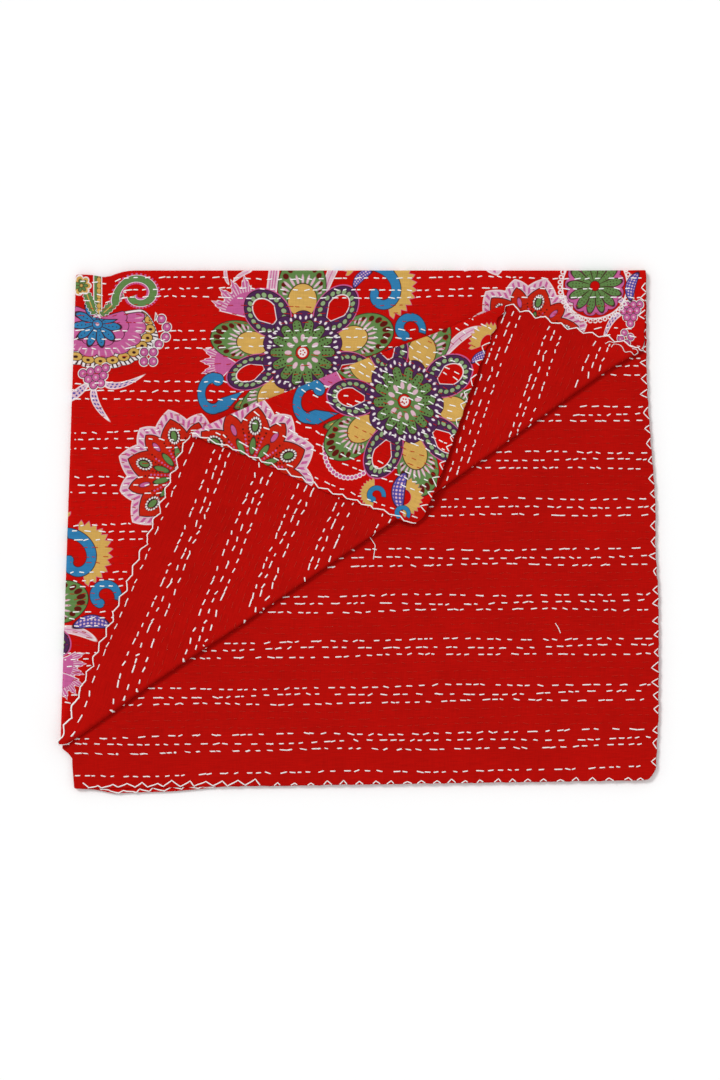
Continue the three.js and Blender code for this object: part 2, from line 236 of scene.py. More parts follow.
def crumple(x, y):
    """Uneven lie of the cloth, as a share of its height: crossing sines, and a bell along each crease."""
    share = np.zeros_like(x)
    for length, bearing, start in zip(wave_lengths, wave_bearings, wave_starts):
        along = x * math.cos(bearing) + y * math.sin(bearing)
        share += wave_steepness * length * np.sin(2 * math.pi * along / length + start)
    for crease in creases:
        start_x, start_y, end_x, end_y = crease["ends"]
        run = math.hypot(end_x - start_x, end_y - start_y)
        way_x = (end_x - start_x) / run
        way_y = (end_y - start_y) / run
        along = (x - start_x) * way_x + (y - start_y) * way_y
        sway = crease_sway * np.sin(along / crease_sway_length)
        beside = (y - start_y) * way_x - (x - start_x) * way_y + sway
        fade = rise_and_fall(
            along, -crease_before, crease_within, run - crease_within, run + crease_before
        )
        share += crease["share"] * fade * bell(beside, 0, crease["half"])
    return share


# How the whole pack lies: its left and right sides lean, its near hem slants, its far left corner has
# slumped, and it swells a little up from the floor.
left_lean = {
    "out": -2, "share": 0.033, "foot": 13, "foot_from": 276, "foot_to": 287, "heel": 4, "heel_to": 335,
}
right_lean = {"out": 1, "most": 16, "from": -60, "to": 230, "foot": 4, "foot_from": 230, "foot_to": 330}
right_bow = {"in": 3.5, "y": -28, "wide": 45}
hem_slant = 0.015
corner_slump = {
    "most": 3.6, "x": -335, "wide": 14, "corner": 5.2, "from": -345, "to": -297, "y": 230, "deep": 100,
}
swell = {"share": 0.05, "along": 72, "across": 86, "skew_along": 0.6, "skew_across": 0.4}


def settle_pack(x, y, z):
    """The lie of the whole pack: leaning sides, a slanted hem, a slumped corner, swells off the floor."""
    right_share = (x - fold_left) / half_width
    foot = left_lean["foot"] * ease(-y, left_lean["foot_from"], left_lean["foot_to"])
    heel = left_lean["heel"] * ease(-y, left_lean["foot_to"], left_lean["heel_to"])
    left_shift = left_lean["out"] + left_lean["share"] * y + foot + heel
    right_foot = right_lean["foot"] * ease(-y, right_lean["foot_from"], right_lean["foot_to"])
    lean = right_lean["most"] * ease(y, right_lean["from"], right_lean["to"])
    bow = right_bow["in"] * bell(y, right_bow["y"], right_bow["wide"])
    right_shift = right_lean["out"] - lean - right_foot - bow
    slant = hem_slant * x * (fold_top - y) / under_length
    dip = corner_slump["most"] * bell(x, corner_slump["x"], corner_slump["wide"])
    corner = corner_slump["corner"] * (1 - ease(x, corner_slump["from"], corner_slump["to"]))
    slump = (dip + corner) * ease(y, corner_slump["y"], corner_slump["y"] + corner_slump["deep"])
    swell_along = np.sin((x + swell["skew_along"] * y) / swell["along"])
    swell_across = np.cos((y - swell["skew_across"] * x) / swell["across"])
    lying_x = x + (1 - right_share) * left_shift + right_share * right_shift
    lying_y = y + slant - slump
    return lying_x, lying_y, z * (1 + swell["share"] * swell_along * swell_across + crumple(lying_x, lying_y))


# The overcast thread draws bites out of the hem at even steps along it, deep ones where the flap lies slack.
bite_step = 20.5
bite_depth = 1.8
bite_reach = 16.0
deep_bite = 6.2
deep_near = {"from": 2, "to": 440}
deep_side = {"from": 96, "to": 340}
bite_fade = 18
bite_sway = 3.5
bite_sway_length = 83
bite_uneven = 0.2
bite_change = 2.4


def bite_phase(along):
    """Place along a hem in bites, which come a little unevenly: a slow sine added to even steps."""
    return (along + bite_sway * np.sin(along / bite_sway_length)) / bite_step


def bite_share(along):
    """How far in a hem is drawn: 1 at a bite, straight down to 0 midway, each bite of its own depth."""
    phase = bite_phase(along)
    bite = np.round(phase)
    depth = 1 - bite_uneven + bite_uneven * np.sin(bite_change * bite)
    return (1 - 2 * np.abs(phase - bite)) * depth


def stretch_of_hem(along, stretch):
    """1 along one stretch of a hem and 0 past its ends, eased."""
    start = stretch["from"]
    end = stretch["to"]
    return rise_and_fall(along, start, start + bite_fade, end, end + bite_fade)


def draw_in_hems(x, y):
    """Moves points near a hem inwards, most at a bite of the thread and not at all half a step from it."""
    edge = np.where(y > 0, under_length, top_length)
    near_side = 1 - ease(half_width - np.abs(x), 0, bite_reach)
    near_end = 1 - ease(edge - np.abs(y), 0, bite_reach)
    side_depth = bite_depth + (deep_bite - bite_depth) * stretch_of_hem(-y, deep_side) * (x > 0)
    end_depth = bite_depth + (deep_bite - bite_depth) * stretch_of_hem(x, deep_near) * (y < 0)
    in_x = np.sign(x) * side_depth * near_side * bite_share(y)
    in_y = np.sign(y) * end_depth * near_end * bite_share(x)
    return x - in_x, y - in_y


def lay_quilt(x, y, lift):
    """Where a flat point lies, in metres: hems drawn in, corner turned, folded in four, slid, settled."""
    drawn_x, drawn_y = draw_in_hems(x, y)
    folded_x, folded_y, folded_z = fold_in_four(*turn_corner(drawn_x, drawn_y, lift))
    slid_x, slid_y = slide_flap(drawn_x, drawn_y)
    lying = settle_pack(folded_x + slid_x, folded_y + slid_y, folded_z)
    return np.stack(np.broadcast_arrays(*lying), axis=-1) / 1000


# The flat cut as a grid: close lines round each fold and beside each hem, wider ones between.
fold_steps = np.linspace(0, 1, 7)
turn_steps = np.linspace(0, 1, 11)
hem_steps = np.array([4.0, 2.3, 1.2, 0.5, 0.0])
hem_margin = 8
columns_shown = 92
columns_hidden = 30
rows_beyond = 104
rows_down = 66


def steps_between(start, end, count):
    """Even steps from start up to end, without the start."""
    return np.linspace(start, end, count + 1)[1:]


def grid_lines(arc, length, count):
    """Lines from a fold to a hem: close ones round the fold, even ones between, close ones beside the hem."""
    middle_lines = steps_between(arc, length - hem_margin, count)
    return np.concatenate([arc * fold_steps, middle_lines, length - hem_steps])


across_lines = grid_lines(left_arc, half_width, columns_shown)
hidden_lines = grid_lines(left_arc, half_width, columns_hidden)
beyond_lines = grid_lines(top_arc, under_length, rows_beyond)
near_top_lines = np.concatenate([top_arc * fold_steps, [4.5, 8.0]])
below_fold = near_top_lines[-1]
down_lines = np.concatenate(
    [steps_between(below_fold, top_length - hem_margin, rows_down), top_length - hem_steps]
)


def straight_row(left, right):
    """One row of the grid from a left point to a right one, spaced as the lines across the quilt are."""
    share = across_lines / half_width
    return np.stack([left[0] + (right[0] - left[0]) * share, left[1] + (right[1] - left[1]) * share])


def rows_between(first, last, shares):
    """Rows that pass evenly from the first row to the last: the mean of the two, weighted by each share."""
    shares = np.asarray(shares)[:, None, None]
    return first * (1 - shares) + last * shares


def row_along_first_turn(past):
    """The row that runs beside the first turn, from the near hem to the side hem."""
    sine = math.sin(first_turn["angle"])
    cosine = math.cos(first_turn["angle"])
    near_x = first_turn["x"] + (past - (top_length + first_turn["y"]) * cosine) / sine
    side_y = first_turn["y"] + ((half_width - first_turn["x"]) * sine - past) / cosine
    return straight_row((near_x, -top_length), (half_width, side_y))


def past_second_turn(x, y):
    """How far past the second turn a flat point comes to lie once the first turn is made."""
    flap_x, flap_y, _, _ = turn_first(x, y, 0.0)
    return past_line(second_turn, flap_x, flap_y)


# How the second turn's ends are looked for: where along each hem, in how many steps, and how often corrected.
near_from = 60
side_from = -130
search_steps = 3000
bite_search_steps = 4000
corrections = 8


def row_along_second_turn(past):
    """The row beside the second turn: both ends found along the hems, then each point moved onto the line."""
    near_x = np.linspace(near_from, half_width, search_steps)
    side_y = np.linspace(side_from, -top_length, search_steps)
    near_end = np.interp(past, past_second_turn(near_x, -top_length), near_x)
    side_end = np.interp(past, past_second_turn(half_width, side_y), side_y)
    row = straight_row((near_end, -top_length), (half_width, side_end))
    way = np.array([side_end + top_length, near_end - half_width])
    way = (way / np.hypot(*way))[:, None]
    free = np.ones(row.shape[1])
    free[[0, -1]] = 0
    for _ in range(corrections):
        row = row - way * free * (past_second_turn(*row) - past)
    return row


def bites_along(start, end, parts):
    """Places along a hem at every bite and at even parts of a bite, with their numbers counted in bites."""
    dense = np.linspace(start, end, bite_search_steps)
    phase = bite_phase(dense)
    numbers = np.arange(math.ceil(parts * phase[0]), math.floor(parts * phase[-1]) + 1) / parts
    return np.interp(numbers, phase, dense), numbers


def bite_shares(first, last):
    """Shares of the way between two rows at which their near ends come to every quarter of a bite."""
    start = first[0, 0]
    end = last[0, 0]
    places, _ = bites_along(start + 1, end - 1, 4)
    return (places - start) / (end - start)


tip_cut = 3
row_gap = 0.6
top_rows = np.stack([straight_row((0, -line), (half_width, -line)) for line in near_top_lines])
first_rows = np.stack([row_along_first_turn(share * first_bend) for share in turn_steps])
second_rows = np.stack([row_along_second_turn(share * second_bend) for share in turn_steps])
low_row = straight_row((0, -top_length), (half_width, first_rows[0, 1, -1] + row_gap))
down_shares = (down_lines - below_fold) / (top_length - below_fold)
tip_row = straight_row((half_width - tip_cut, -top_length), (half_width, tip_cut - top_length))
upper_quarter = np.concatenate(
    [
        top_rows,
        rows_between(top_rows[-1], low_row, down_shares),
        first_rows,
        rows_between(first_rows[-1], second_rows[0], bite_shares(first_rows[-1], second_rows[0])),
        second_rows,
        rows_between(second_rows[-1], tip_row, bite_shares(second_rows[-1], tip_row)),
        tip_row[None],
    ]
)


def plain_quarter(across, down):
    """A quarter with straight lines both ways."""
    return np.stack(np.meshgrid(across, down), axis=1)


left_edge_lines = np.concatenate([near_top_lines, down_lines])
quarters = [
    upper_quarter,
    plain_quarter(across_lines, beyond_lines[::-1]),
    plain_quarter(-hidden_lines[::-1], beyond_lines[::-1]),
    plain_quarter(-hidden_lines[::-1], -left_edge_lines),
]


def round_corners(x, y):
    """Rounds the corners of the cut: a corner square drawn onto a quarter disc, u·√(1 - v²/2) each way."""
    edge = np.where(y > 0, under_length, top_length)
    u = np.maximum(0, np.abs(x) - half_width + corner_rounding) / corner_rounding
    v = np.maximum(0, np.abs(y) - edge + corner_rounding) / corner_rounding
    in_x = corner_rounding * (u - u * np.sqrt(1 - v * v / 2))
    in_y = corner_rounding * (v - v * np.sqrt(1 - u * u / 2))
    return x - np.sign(x) * in_x, y - np.sign(y) * in_y


def grid_cells(rows, columns, start):
    """Corner numbers of every cell of a grid of points, counted along the rows from a start number."""
    number = start + np.arange(rows * columns).reshape(rows, columns)
    corners = [number[:-1, :-1], number[1:, :-1], number[1:, 1:], number[:-1, 1:]]
    return np.stack(corners, axis=-1).reshape(-1, 4)


flat_parts = []
cell_parts = []
point_count = 0
for quarter in quarters:
    flat_parts.append(quarter.swapaxes(0, 1).reshape(2, -1))
    cell_parts.append(grid_cells(quarter.shape[0], quarter.shape[2], point_count))
    point_count += quarter.shape[0] * quarter.shape[2]
loose_points = np.round(np.concatenate(flat_parts, axis=1).T, 4)
flat_points, joined = np.unique(loose_points, axis=0, return_inverse=True)
cells = joined.reshape(-1)[np.concatenate(cell_parts)]
flat_x, flat_y = round_corners(flat_points[:, 0], flat_points[:, 1])
sides = np.concatenate([np.stack([cells[:, i], cells[:, (i + 1) % 4]], axis=1) for i in range(4)])
side_keys = np.sort(sides, axis=1) @ np.array([len(flat_x), 1])
_, first_seen, times_seen = np.unique(side_keys, return_index=True, return_counts=True)
hem_sides = sides[first_seen[times_seen == 1]]
edge_y = np.where(flat_y > 0, under_length, top_length)
from_hem = np.minimum(half_width - np.abs(flat_x), edge_y - np.abs(flat_y))
hem_rounding = 2.2
hem_thin = 0.4


def round_hem(inward, full, thin):
    """Lift of a cloth's outer side by how far in from its hem it is: a quarter circle from thin to full."""
    share = np.clip(inward / hem_rounding, 0, 1)
    return thin + (full - thin) * np.sqrt(1 - (1 - share) ** 2)


def make_piece(name, points, corners, starts, maps):
    """A smooth mesh from its points, the point numbers of all face corners in one row, the place in that row
    where each face starts, and UV maps given for each corner."""
    mesh = bpy.data.meshes.new(name)
    mesh.vertices.add(points.size // 3)
    mesh.vertices.foreach_set("co", points.astype(np.float32).ravel())
    mesh.loops.add(len(corners))
    mesh.loops.foreach_set("vertex_index", corners.astype(np.int32))
    mesh.polygons.add(len(starts))
    mesh.polygons.foreach_set("loop_start", starts.astype(np.int32))
    mesh.polygons.foreach_set("use_smooth", np.ones(len(starts), bool))
    for map_name, places in maps.items():
        mesh.uv_layers.new(name=map_name).data.foreach_set("uv", places.astype(np.float32).ravel())
    mesh.update()
    mesh.validate()
    piece = bpy.data.objects.new(name, mesh)
    bpy.context.collection.objects.link(piece)
    return piece


# The map for baking keeps a margin all round, and a narrow band of it for the inner side, which never shows.
bake_margin = 0.005
inner_band = 0.14


def sew_panel(name, upper_lift, lower_lift, outer_is_upper):
    """A cloth as a closed panel: the grid at two lifts, joined at the hem, with its flat cut as UV maps."""
    upper = lay_quilt(flat_x, flat_y, upper_lift)
    lower = lay_quilt(flat_x, flat_y, lower_lift)
    count = len(flat_x)
    start, end = hem_sides.T
    rim = np.stack([start + count, end + count, end, start], axis=1)
    corners = np.concatenate([cells, cells[:, ::-1] + count, rim]).ravel()
    cut = np.stack([flat_x, flat_y], axis=1)[corners % count]
    inner = (np.arange(len(corners)) < cells.size) != outer_is_upper
    inner[2 * cells.size:] = False
    sheet_share = (cut + [half_width, top_length]) / (2 * half_width)
    in_band = sheet_share * [1, inner_band] + [0, 1 - inner_band]
    packed = np.where(inner[:, None], in_band, sheet_share)
    maps = {"flat_cut": cut / 1000, "OFBake": bake_margin + (1 - 2 * bake_margin) * packed}
    return make_piece(name, np.concatenate([upper, lower]), corners, np.arange(0, len(corners), 4), maps)


printed_cloth = sew_panel("printed_cloth", round_hem(from_hem, quilt_half, hem_thin), cloth_gap / 2, True)


def linear(code):
    """A colour written as six hex digits, in linear light: each part by the usual screen curve."""
    parts = np.array([int(code[i:i + 2], 16) for i in (0, 2, 4)]) / 255
    lit = np.where(parts <= 0.04045, parts / 12.92, ((parts + 0.055) / 1.055) ** 2.4)
    return (*lit.tolist(), 1.0)


# The inks of the print.
ground_red = linear("b70a05")
deep_red = linear("b8210f")
leaf_green = linear("5b7c45")
bead_green = linear("869f74")
gold = linear("c59c51")
purple = linear("48264d")
violet = linear("504594")
blue = linear("2e74a3")
pink = linear("b9588d")
pale_pink = linear("d1acb9")
seed_brown = linear("591611")
dark_line = linear("39191b")
resist_white = linear("e0d7d7")
ink_border = 0.7


def place_node(tree, kind, inputs, **settings):
    """Adds a shader node with its settings. Inputs given as sockets or readings are linked, others are set."""
    node = tree.nodes.new("ShaderNode" + kind)
    for setting, choice in settings.items():
        setattr(node, setting, choice)
    for slot, given in inputs.items():
        source = given.socket if isinstance(given, Reading) else given
        if isinstance(source, bpy.types.NodeSocket):
            tree.links.new(source, node.inputs[slot])
        else:
            node.inputs[slot].default_value = source
    return node


def open_group(name, inputs, outputs):
    """A shader group with its named sockets, and where its inputs come in."""
    group = bpy.data.node_groups.new(name, "ShaderNodeTree")
    for in_out, sockets in (("INPUT", inputs), ("OUTPUT", outputs)):
        for socket, kind in sockets.items():
            group.interface.new_socket(socket, in_out=in_out, socket_type="NodeSocket" + kind)
    return group, group.nodes.new("NodeGroupInput").outputs


def close_group(group, results):
    """Hands the results out of a shader group, each by its socket's name."""
    leave = group.nodes.new("NodeGroupOutput")
    for socket, result in results.items():
        group.links.new(result, leave.inputs[socket])


class Reading:
    """A number read at each point of the cloth; a sum on readings adds the Math node that works it out."""

    def __init__(self, tree, socket):
        self.tree = tree
        self.socket = socket

    def worked(self, operation, *others):
        """The reading and the other numbers put through one Math node."""
        numbers = dict(enumerate((self, *others)))
        node = place_node(self.tree, "Math", numbers, operation=operation)
        return Reading(self.tree, node.outputs[0])

    def __add__(self, other):
        return self.worked("ADD", other)

    def __sub__(self, other):
        return self.worked("SUBTRACT", other)

    def __rsub__(self, other):
        return self.worked("MULTIPLY_ADD", -1.0, other)

    def __mul__(self, other):
        return self.worked("MULTIPLY", other)

    def __abs__(self):
        return self.worked("ABSOLUTE")


def both(first, second):
    """Edge of what lies inside both: the greater of two distances."""
    return first.worked("MAXIMUM", second)


def either(first, second):
    """Edge of what lies inside one or the other: the lesser of two distances."""
    return first.worked("MINIMUM", second)


def from_middle(x, y):
    """Distance from the middle: √(x² + y²)."""
    return x.worked("MULTIPLY_ADD", x, y * y).worked("SQRT")


def round_about(x, y, count, turn=0.0):
    """Repeats a drawing round the middle: the angle is folded into one share of the circle, and the place is
    given along that share's middle line and across it."""
    share = y.worked("ARCTAN2", x).worked("MULTIPLY_ADD", count / (2 * math.pi), turn)
    angle = (share - share.worked("ROUND")) * (2 * math.pi / count)
    away = from_middle(x, y)
    return away * angle.worked("COSINE"), away * angle.worked("SINE")


def oval(along, across, at, half_long, half_wide):
    """Distance from an oval's edge, nearly: (√((along - at)²/long² + across²/wide²) - 1) · wide."""
    long_share = along.worked("MULTIPLY_ADD", 1 / half_long, -at / half_long)
    reach = from_middle(long_share, across * (1 / half_wide))
    return reach.worked("MULTIPLY_ADD", half_wide, -half_wide)


def in_steps(value, step):
    """Place within even steps, from minus half a step to plus half: value - step · round(value / step)."""
    return value - (value * (1 / step)).worked("ROUND") * step


def turned(x, y, degrees):
    """A place turned about the middle: (x cos - y sin, x sin + y cos)."""
    cosine = math.cos(math.radians(degrees))
    sine = math.sin(math.radians(degrees))
    return x.worked("MULTIPLY_ADD", cosine, y * -sine), x.worked("MULTIPLY_ADD", sine, y * cosine)


class PrintBlock:
    """A motif as a shader group: inks laid over a colour, one on another, each inside its own edge."""

    def __init__(self, name):
        self.tree, entry = open_group(name, {"Place": "Vector", "Cloth": "Color"}, {"Print": "Color"})
        split = place_node(self.tree, "SeparateXYZ", {0: entry["Place"]})
        self.x = Reading(self.tree, split.outputs["X"])
        self.y = Reading(self.tree, split.outputs["Y"])
        self.colour = entry["Cloth"]

    def all_round(self, count, turn=0.0):
        """The place on the motif, repeated round its middle."""
        return round_about(self.x, self.y, count, turn)

    def ink(self, edge, colour):
        """Lays an ink where the distance from its edge is below nothing, with a soft border."""
        cover = edge.worked("MULTIPLY_ADD", -1 / ink_border, 0.5)
        mix = place_node(self.tree, "Mix", {0: cover, 6: self.colour, 7: colour}, data_type="RGBA")
        self.colour = mix.outputs[2]

    def lined(self, edge, colour, line_colour=dark_line, line=1.0):
        """An ink with a drawn line round it."""
        self.ink(edge - line, line_colour)
        self.ink(edge, colour)

    def done(self):
        """Hands the finished colour out of the group."""
        close_group(self.tree, {"Print": self.colour})
        return self.tree


# Large flower: five seeded green petals with gold hearts, five purple bead-edged petals, and a green rosette,
# drawn freely, so that the petals on one side stand a little wider apart.
flower = PrintBlock("large_flower")
away = from_middle(flower.x, flower.y)
wide_side_x, _ = turned(flower.x, flower.y, -150)
facing = wide_side_x.worked("DIVIDE", away).worked("MULTIPLY_ADD", 0.5, 0.5)
lean = facing.worked("POWER", 4.0) * (-12 / 72)
along, across = flower.all_round(5, lean - 15 / 72)
petal = oval(along, across, 86, 37, 27)
flower.lined(petal, leaf_green)
seed_along, seed_across = round_about((along - 86) * 0.74, across, 17)
seeds = oval(seed_along, seed_across, 20.8, 4.3, 3.3) + (113 - along) * 0.045
flower.ink(both(seeds, 77 - along), seed_brown)
dash_along, dash_across = round_about(along - 68, across, 27)
dashes = both(oval(dash_along, dash_across, 25.5, 6.5, 1.4), 74 - along)
flower.ink(both(dashes, petal + 4), pale_pink)
flower.lined(oval(along, across, 67, 21, 16), gold)
along, across = flower.all_round(5, lean + 21 / 72)
petal = oval(along, across, 70, 33, 23)
flower.ink(petal - 2.2, pink)
flower.lined(petal, purple)
bead_along, bead_across = round_about((along - 70) * 0.72, across, 18)
flower.lined(oval(bead_along, bead_across, 18.4, 2.5, 2.4), bead_green, line=0.7)
heart = both(oval(along, across, 73, 18.5, 12), abs(across) - (along - 49) * 0.55)
flower.lined(heart, ground_red, resist_white, 1.0)
lobe_along, lobe_across = flower.all_round(10, 0.5)
flower.lined(either(oval(lobe_along, lobe_across, 43, 10.5, 13), away - 47), purple)
leaf_along, leaf_across = flower.all_round(14)
flower.ink(oval(leaf_along, leaf_across, 48, 2.6, 1.5), resist_white)
flower.ink(oval(leaf_along, abs(leaf_across) - 6.3, 44.5, 2.4, 1.4), resist_white)
finger = either(oval(leaf_along, leaf_across, 29, 13, 6), from_middle(leaf_along - 36.6, leaf_across) - 5.4)
flower.lined(either(finger, away - 25), leaf_green)
dots = from_middle(in_steps(leaf_along, 4.4), abs(leaf_across) - 3.0) - 1.05
flower.ink(both(both(dots, finger + 1.4), 24 - leaf_along), dark_line)
drop_along, drop_across = flower.all_round(12)
flower.ink(oval(drop_along, drop_across, 19, 4.6, 2.7), pale_pink)
flower.lined(away - 8.4, deep_red)
flower.ink(away - 6, resist_white)
dot_along, dot_across = flower.all_round(5)
flower.ink(from_middle(dot_along - 3, dot_across) - 1.1, deep_red)
large_flower = flower.done()

# Lotus: six pointed red petals with six small ones between, in a pale border crossed by dashes, with a green
# drop among beads in each petal and leaves round its middle.
lotus = PrintBlock("lotus")
away = from_middle(lotus.x, lotus.y)
along, across = lotus.all_round(6)
between_along, between_across = lotus.all_round(6, 0.5)
large_petal = from_middle(along - 36, abs(across) + 25) - 45
small_petal = from_middle(between_along - 50, abs(between_across) + 13) - 24
petals = either(either(large_petal, small_petal), away - 44)
lotus.lined(petals - 10.5, pale_pink, resist_white)
_, dash_across = lotus.all_round(62)
lotus.ink(both(abs(petals - 5.6) - 3.1, abs(dash_across) - 1.6), pink)
lotus.lined(petals, deep_red, line=1.3)
dot_along, dot_across = lotus.all_round(42)
dots = from_middle(in_steps(dot_along - 2, 4.6), dot_across) - 1.2
beside_small = 9 - abs(between_across)
lotus.ink(both(both(dots, petals + 3), both(beside_small, along - 56)), seed_brown)
lotus.ink(oval(along, across, 52, 11.2, 7.6), dark_line)
dot_along, dot_across = round_about((along - 52) * 0.7, across, 15)
lotus.ink(from_middle(dot_along - 6.5, dot_across) - 1.05, resist_white)
lotus.ink(oval(along, across, 52, 6.4, 3.5), leaf_green)
lotus.lined(oval(between_along, between_across, 50, 6.5, 2.7), pink, line=0.6)
line_along, line_across = lotus.all_round(12, 0.5)
dots = from_middle(in_steps(line_along, 4.5), line_across) - 1.2
lotus.ink(both(both(dots, line_along - 43), 17 - line_along), pink)
leaf_along, leaf_across = lotus.all_round(12)
lotus.lined(oval(leaf_along, leaf_across, 28, 9.5, 3.3), leaf_green, line=0.8)
lobe_along, lobe_across = lotus.all_round(9)
lotus.lined(either(oval(lobe_along, lobe_across, 11, 3.4, 4), away - 11), resist_white)
lotus.lined(away - 8.5, violet)
lotus_flower = lotus.done()

# Fan flower: a blue daisy on a pink body, open above and edged below with gold scallops and a white fringe.
fan = PrintBlock("fan_flower")
body_x = fan.x * 0.69
body_y = fan.y * 0.98 - 1
away = from_middle(body_x, body_y)
far_out = (abs(fan.x) - 50).worked("MAXIMUM", 0.0)
rim = fan.y - abs(fan.x) * 0.27 + far_out * far_out * 0.036 - 6
open_side = both(rim * 0.8, -37 - fan.x)
lobe_along, lobe_across = round_about(body_x, body_y, 27)
scallops = oval(lobe_along, lobe_across, 48.5, 4.6, 5.3)
fringe = both(either(scallops, away - 48.5) - 6, open_side - 3)
fan.lined(fringe, resist_white, line=0.8)
hair_along, hair_across = round_about(body_x, body_y, 84)
fan.ink(both(oval(hair_along, hair_across, 55, 6, 0.8), fringe), dark_line)
fan.lined(both(scallops, open_side - 1), gold)
fan.ink(both(oval(lobe_along, lobe_across, 49, 1.7, 1.7), open_side), dark_line)
wave_along, wave_across = round_about(body_x, body_y, 15)
wave = either(oval(wave_along, wave_across, 38, 6.5, 8.5), away - 39)
fan.lined(both(wave, open_side), pink)
dash_along, dash_across = round_about(body_x, body_y, 40)
fan.ink(both(oval(dash_along, dash_across, 39, 3.4, 0.7), open_side + 3), pale_pink)
inner_x = fan.x * 0.72
wave_along, wave_across = round_about(inner_x, fan.y, 11)
wave = either(oval(wave_along, wave_across, 25, 5, 7.6), from_middle(inner_x, fan.y) - 25)
fan.lined(both(wave, open_side - 4), pink)
petal_along, petal_across = fan.all_round(11, 0.1)
petals = oval(petal_along, petal_across, 18.5, 12, 4.9)
petals = both(petals, abs(petal_across) - petal_along * 0.27 + 0.4)
upward = both(-9 - fan.x, 8 - fan.y)
petals = both(petals, upward * -1.0)
fan.lined(petals, blue, line=1.3)
dots = from_middle(in_steps(petal_along, 5.2), petal_across) - 0.8
fan.ink(both(dots, petals + 1.6), dark_line)
fan.lined(from_middle(fan.x, fan.y) - 6.2, blue)
fan.ink(from_middle(fan.x, fan.y) - 2.4, pale_pink)
fan_flower = fan.done()

# Daisy: green petals round a red eye, on a lobed pink disc inside a ring of small white loops.
daisy = PrintBlock("daisy")
away = from_middle(daisy.x, daisy.y)
loop_along, loop_across = daisy.all_round(44)
daisy.ink(abs(from_middle(loop_along - 46.5, loop_across) - 2.3) - 0.75, resist_white)
daisy.ink(abs(away - 43.2) - 0.8, resist_white)
lobe_along, lobe_across = daisy.all_round(13)
daisy.lined(either(oval(lobe_along, lobe_across, 33, 6.5, 8.6), away - 33), pink)
petal_along, petal_across = daisy.all_round(13)
petal = both(oval(petal_along, petal_across, 20.5, 15, 5.4), abs(petal_across) - petal_along * 0.205)
daisy.lined(petal, leaf_green)
dots = from_middle(in_steps(petal_along, 4.2), abs(petal_across) - 1.9) - 0.7
daisy.ink(both(dots, petal + 1), dark_line)
daisy.lined(away - 6, ground_red)
daisy_flower = daisy.done()

# Flame: a gold half ring with a spiky outer edge.
flame = PrintBlock("flame")
away = from_middle(flame.x, flame.y)
angle = flame.y.worked("ARCTAN2", flame.x)
points = (away + abs(in_steps(angle, 0.235)) * 60 - 45) * 0.6
half_ring = both(18 - away, (abs(angle) - 1.5) * away)
flame.lined(both(points, half_ring), gold, pink, 0.6)
flame_leaf = flame.done()


def draw_crook(name, flip, inner, growth, power, half_wide, thinning, end_share):
    """Part of one turn of a winding band: its middle line lies at inner + growth · (share of the turn) to a
    power from the middle, and it thins evenly, or widens where the thinning is negative."""
    crook = PrintBlock(name)
    place_y = crook.y * flip
    away = from_middle(crook.x, place_y)
    angle = place_y.worked("ARCTAN2", crook.x)
    share = angle.worked("MULTIPLY_ADD", 1 / (2 * math.pi), 0.5)
    beyond = away - share.worked("POWER", power).worked("MULTIPLY_ADD", growth, inner)
    band = abs(beyond) + angle * thinning - half_wide
    blunt_end = from_middle(crook.x + inner, place_y - 1) - half_wide - thinning * 2.6
    crook.lined(either(both(band, (share - end_share) * 100), blunt_end), blue, line=1.1)
    return crook.done()


# Crooks: thick blue leaves that wind outwards from a blunt end, a large one, and a small one the other
# way round.
large_crook = draw_crook("large_crook", 1.0, 11.5, 58.0, 4.0, 6.3, -0.35, 0.84)
small_crook = draw_crook("small_crook", -1.0, 11.0, 12.0, 1.0, 5.0, 0.4, 0.7)

# Hook: a fat blue hook with a knob at its upper end and a long pointed tail at its lower one.
hook = PrintBlock("hook")
ring = both(abs(from_middle(hook.x * 1.1, hook.y * 0.85) - 17) - 5.2, hook.x - 6)
knob = from_middle(hook.x - 6, hook.y - 17.5) - 7.4
tail_x, tail_y = turned(hook.x - 20, hook.y + 10, -33)
tail = both(oval(tail_x, tail_y, 0, 24, 8), abs(tail_y) + tail_x * 0.28 - 6.2)
hook.lined(either(either(ring, knob), tail), blue, line=1.1)
hook_leaf = hook.done()

# Feather: a pink hand of four broad spikes with ragged white edges, streaked with pale strokes at the tips.
feather = PrintBlock("feather")
away = from_middle(feather.x, feather.y)
angle = feather.y.worked("ARCTAN2", feather.x)
spike = abs(in_steps(angle - 0.17, 0.34)) * 90
barb = abs(in_steps(angle, 0.085)) * 60
outline = both((away + spike + barb - 54) * 0.6, (abs(angle) - 0.68) * away)
feather.lined(outline, pink, resist_white, 1.1)
stroke = abs(in_steps(angle, 0.1)) * away
feather.ink(both(both(outline + 1.5, stroke - 0.8), 33 - away), pale_pink)
feather_leaf = feather.done()

# Pale blade: a long plain leaf in pale pink with a fine pink vein.
pale = PrintBlock("pale_blade")
bent = pale.y + pale.x * pale.x * 0.006
pale.lined(oval(pale.x, bent, 0, 27, 5.2), pale_pink, resist_white)
pale.ink(both(abs(bent) - 0.5, abs(pale.x) - 22), pink)
pale_blade = pale.done()

# Stalk: a short green stalk with a row of gold lumps down one side and a white edge.
stalk = PrintBlock("stalk")
outline = both(abs(stalk.y) - 4.6, abs(stalk.x) - 26)
stalk.lined(outline, leaf_green, resist_white, 1.3)
lumps = from_middle(in_steps(stalk.x, 7.0) * 0.85, stalk.y + 1.8) - 2.9
stalk.lined(both(lumps, outline + 0.4), gold, line=0.5)
gold_stalk = stalk.done()

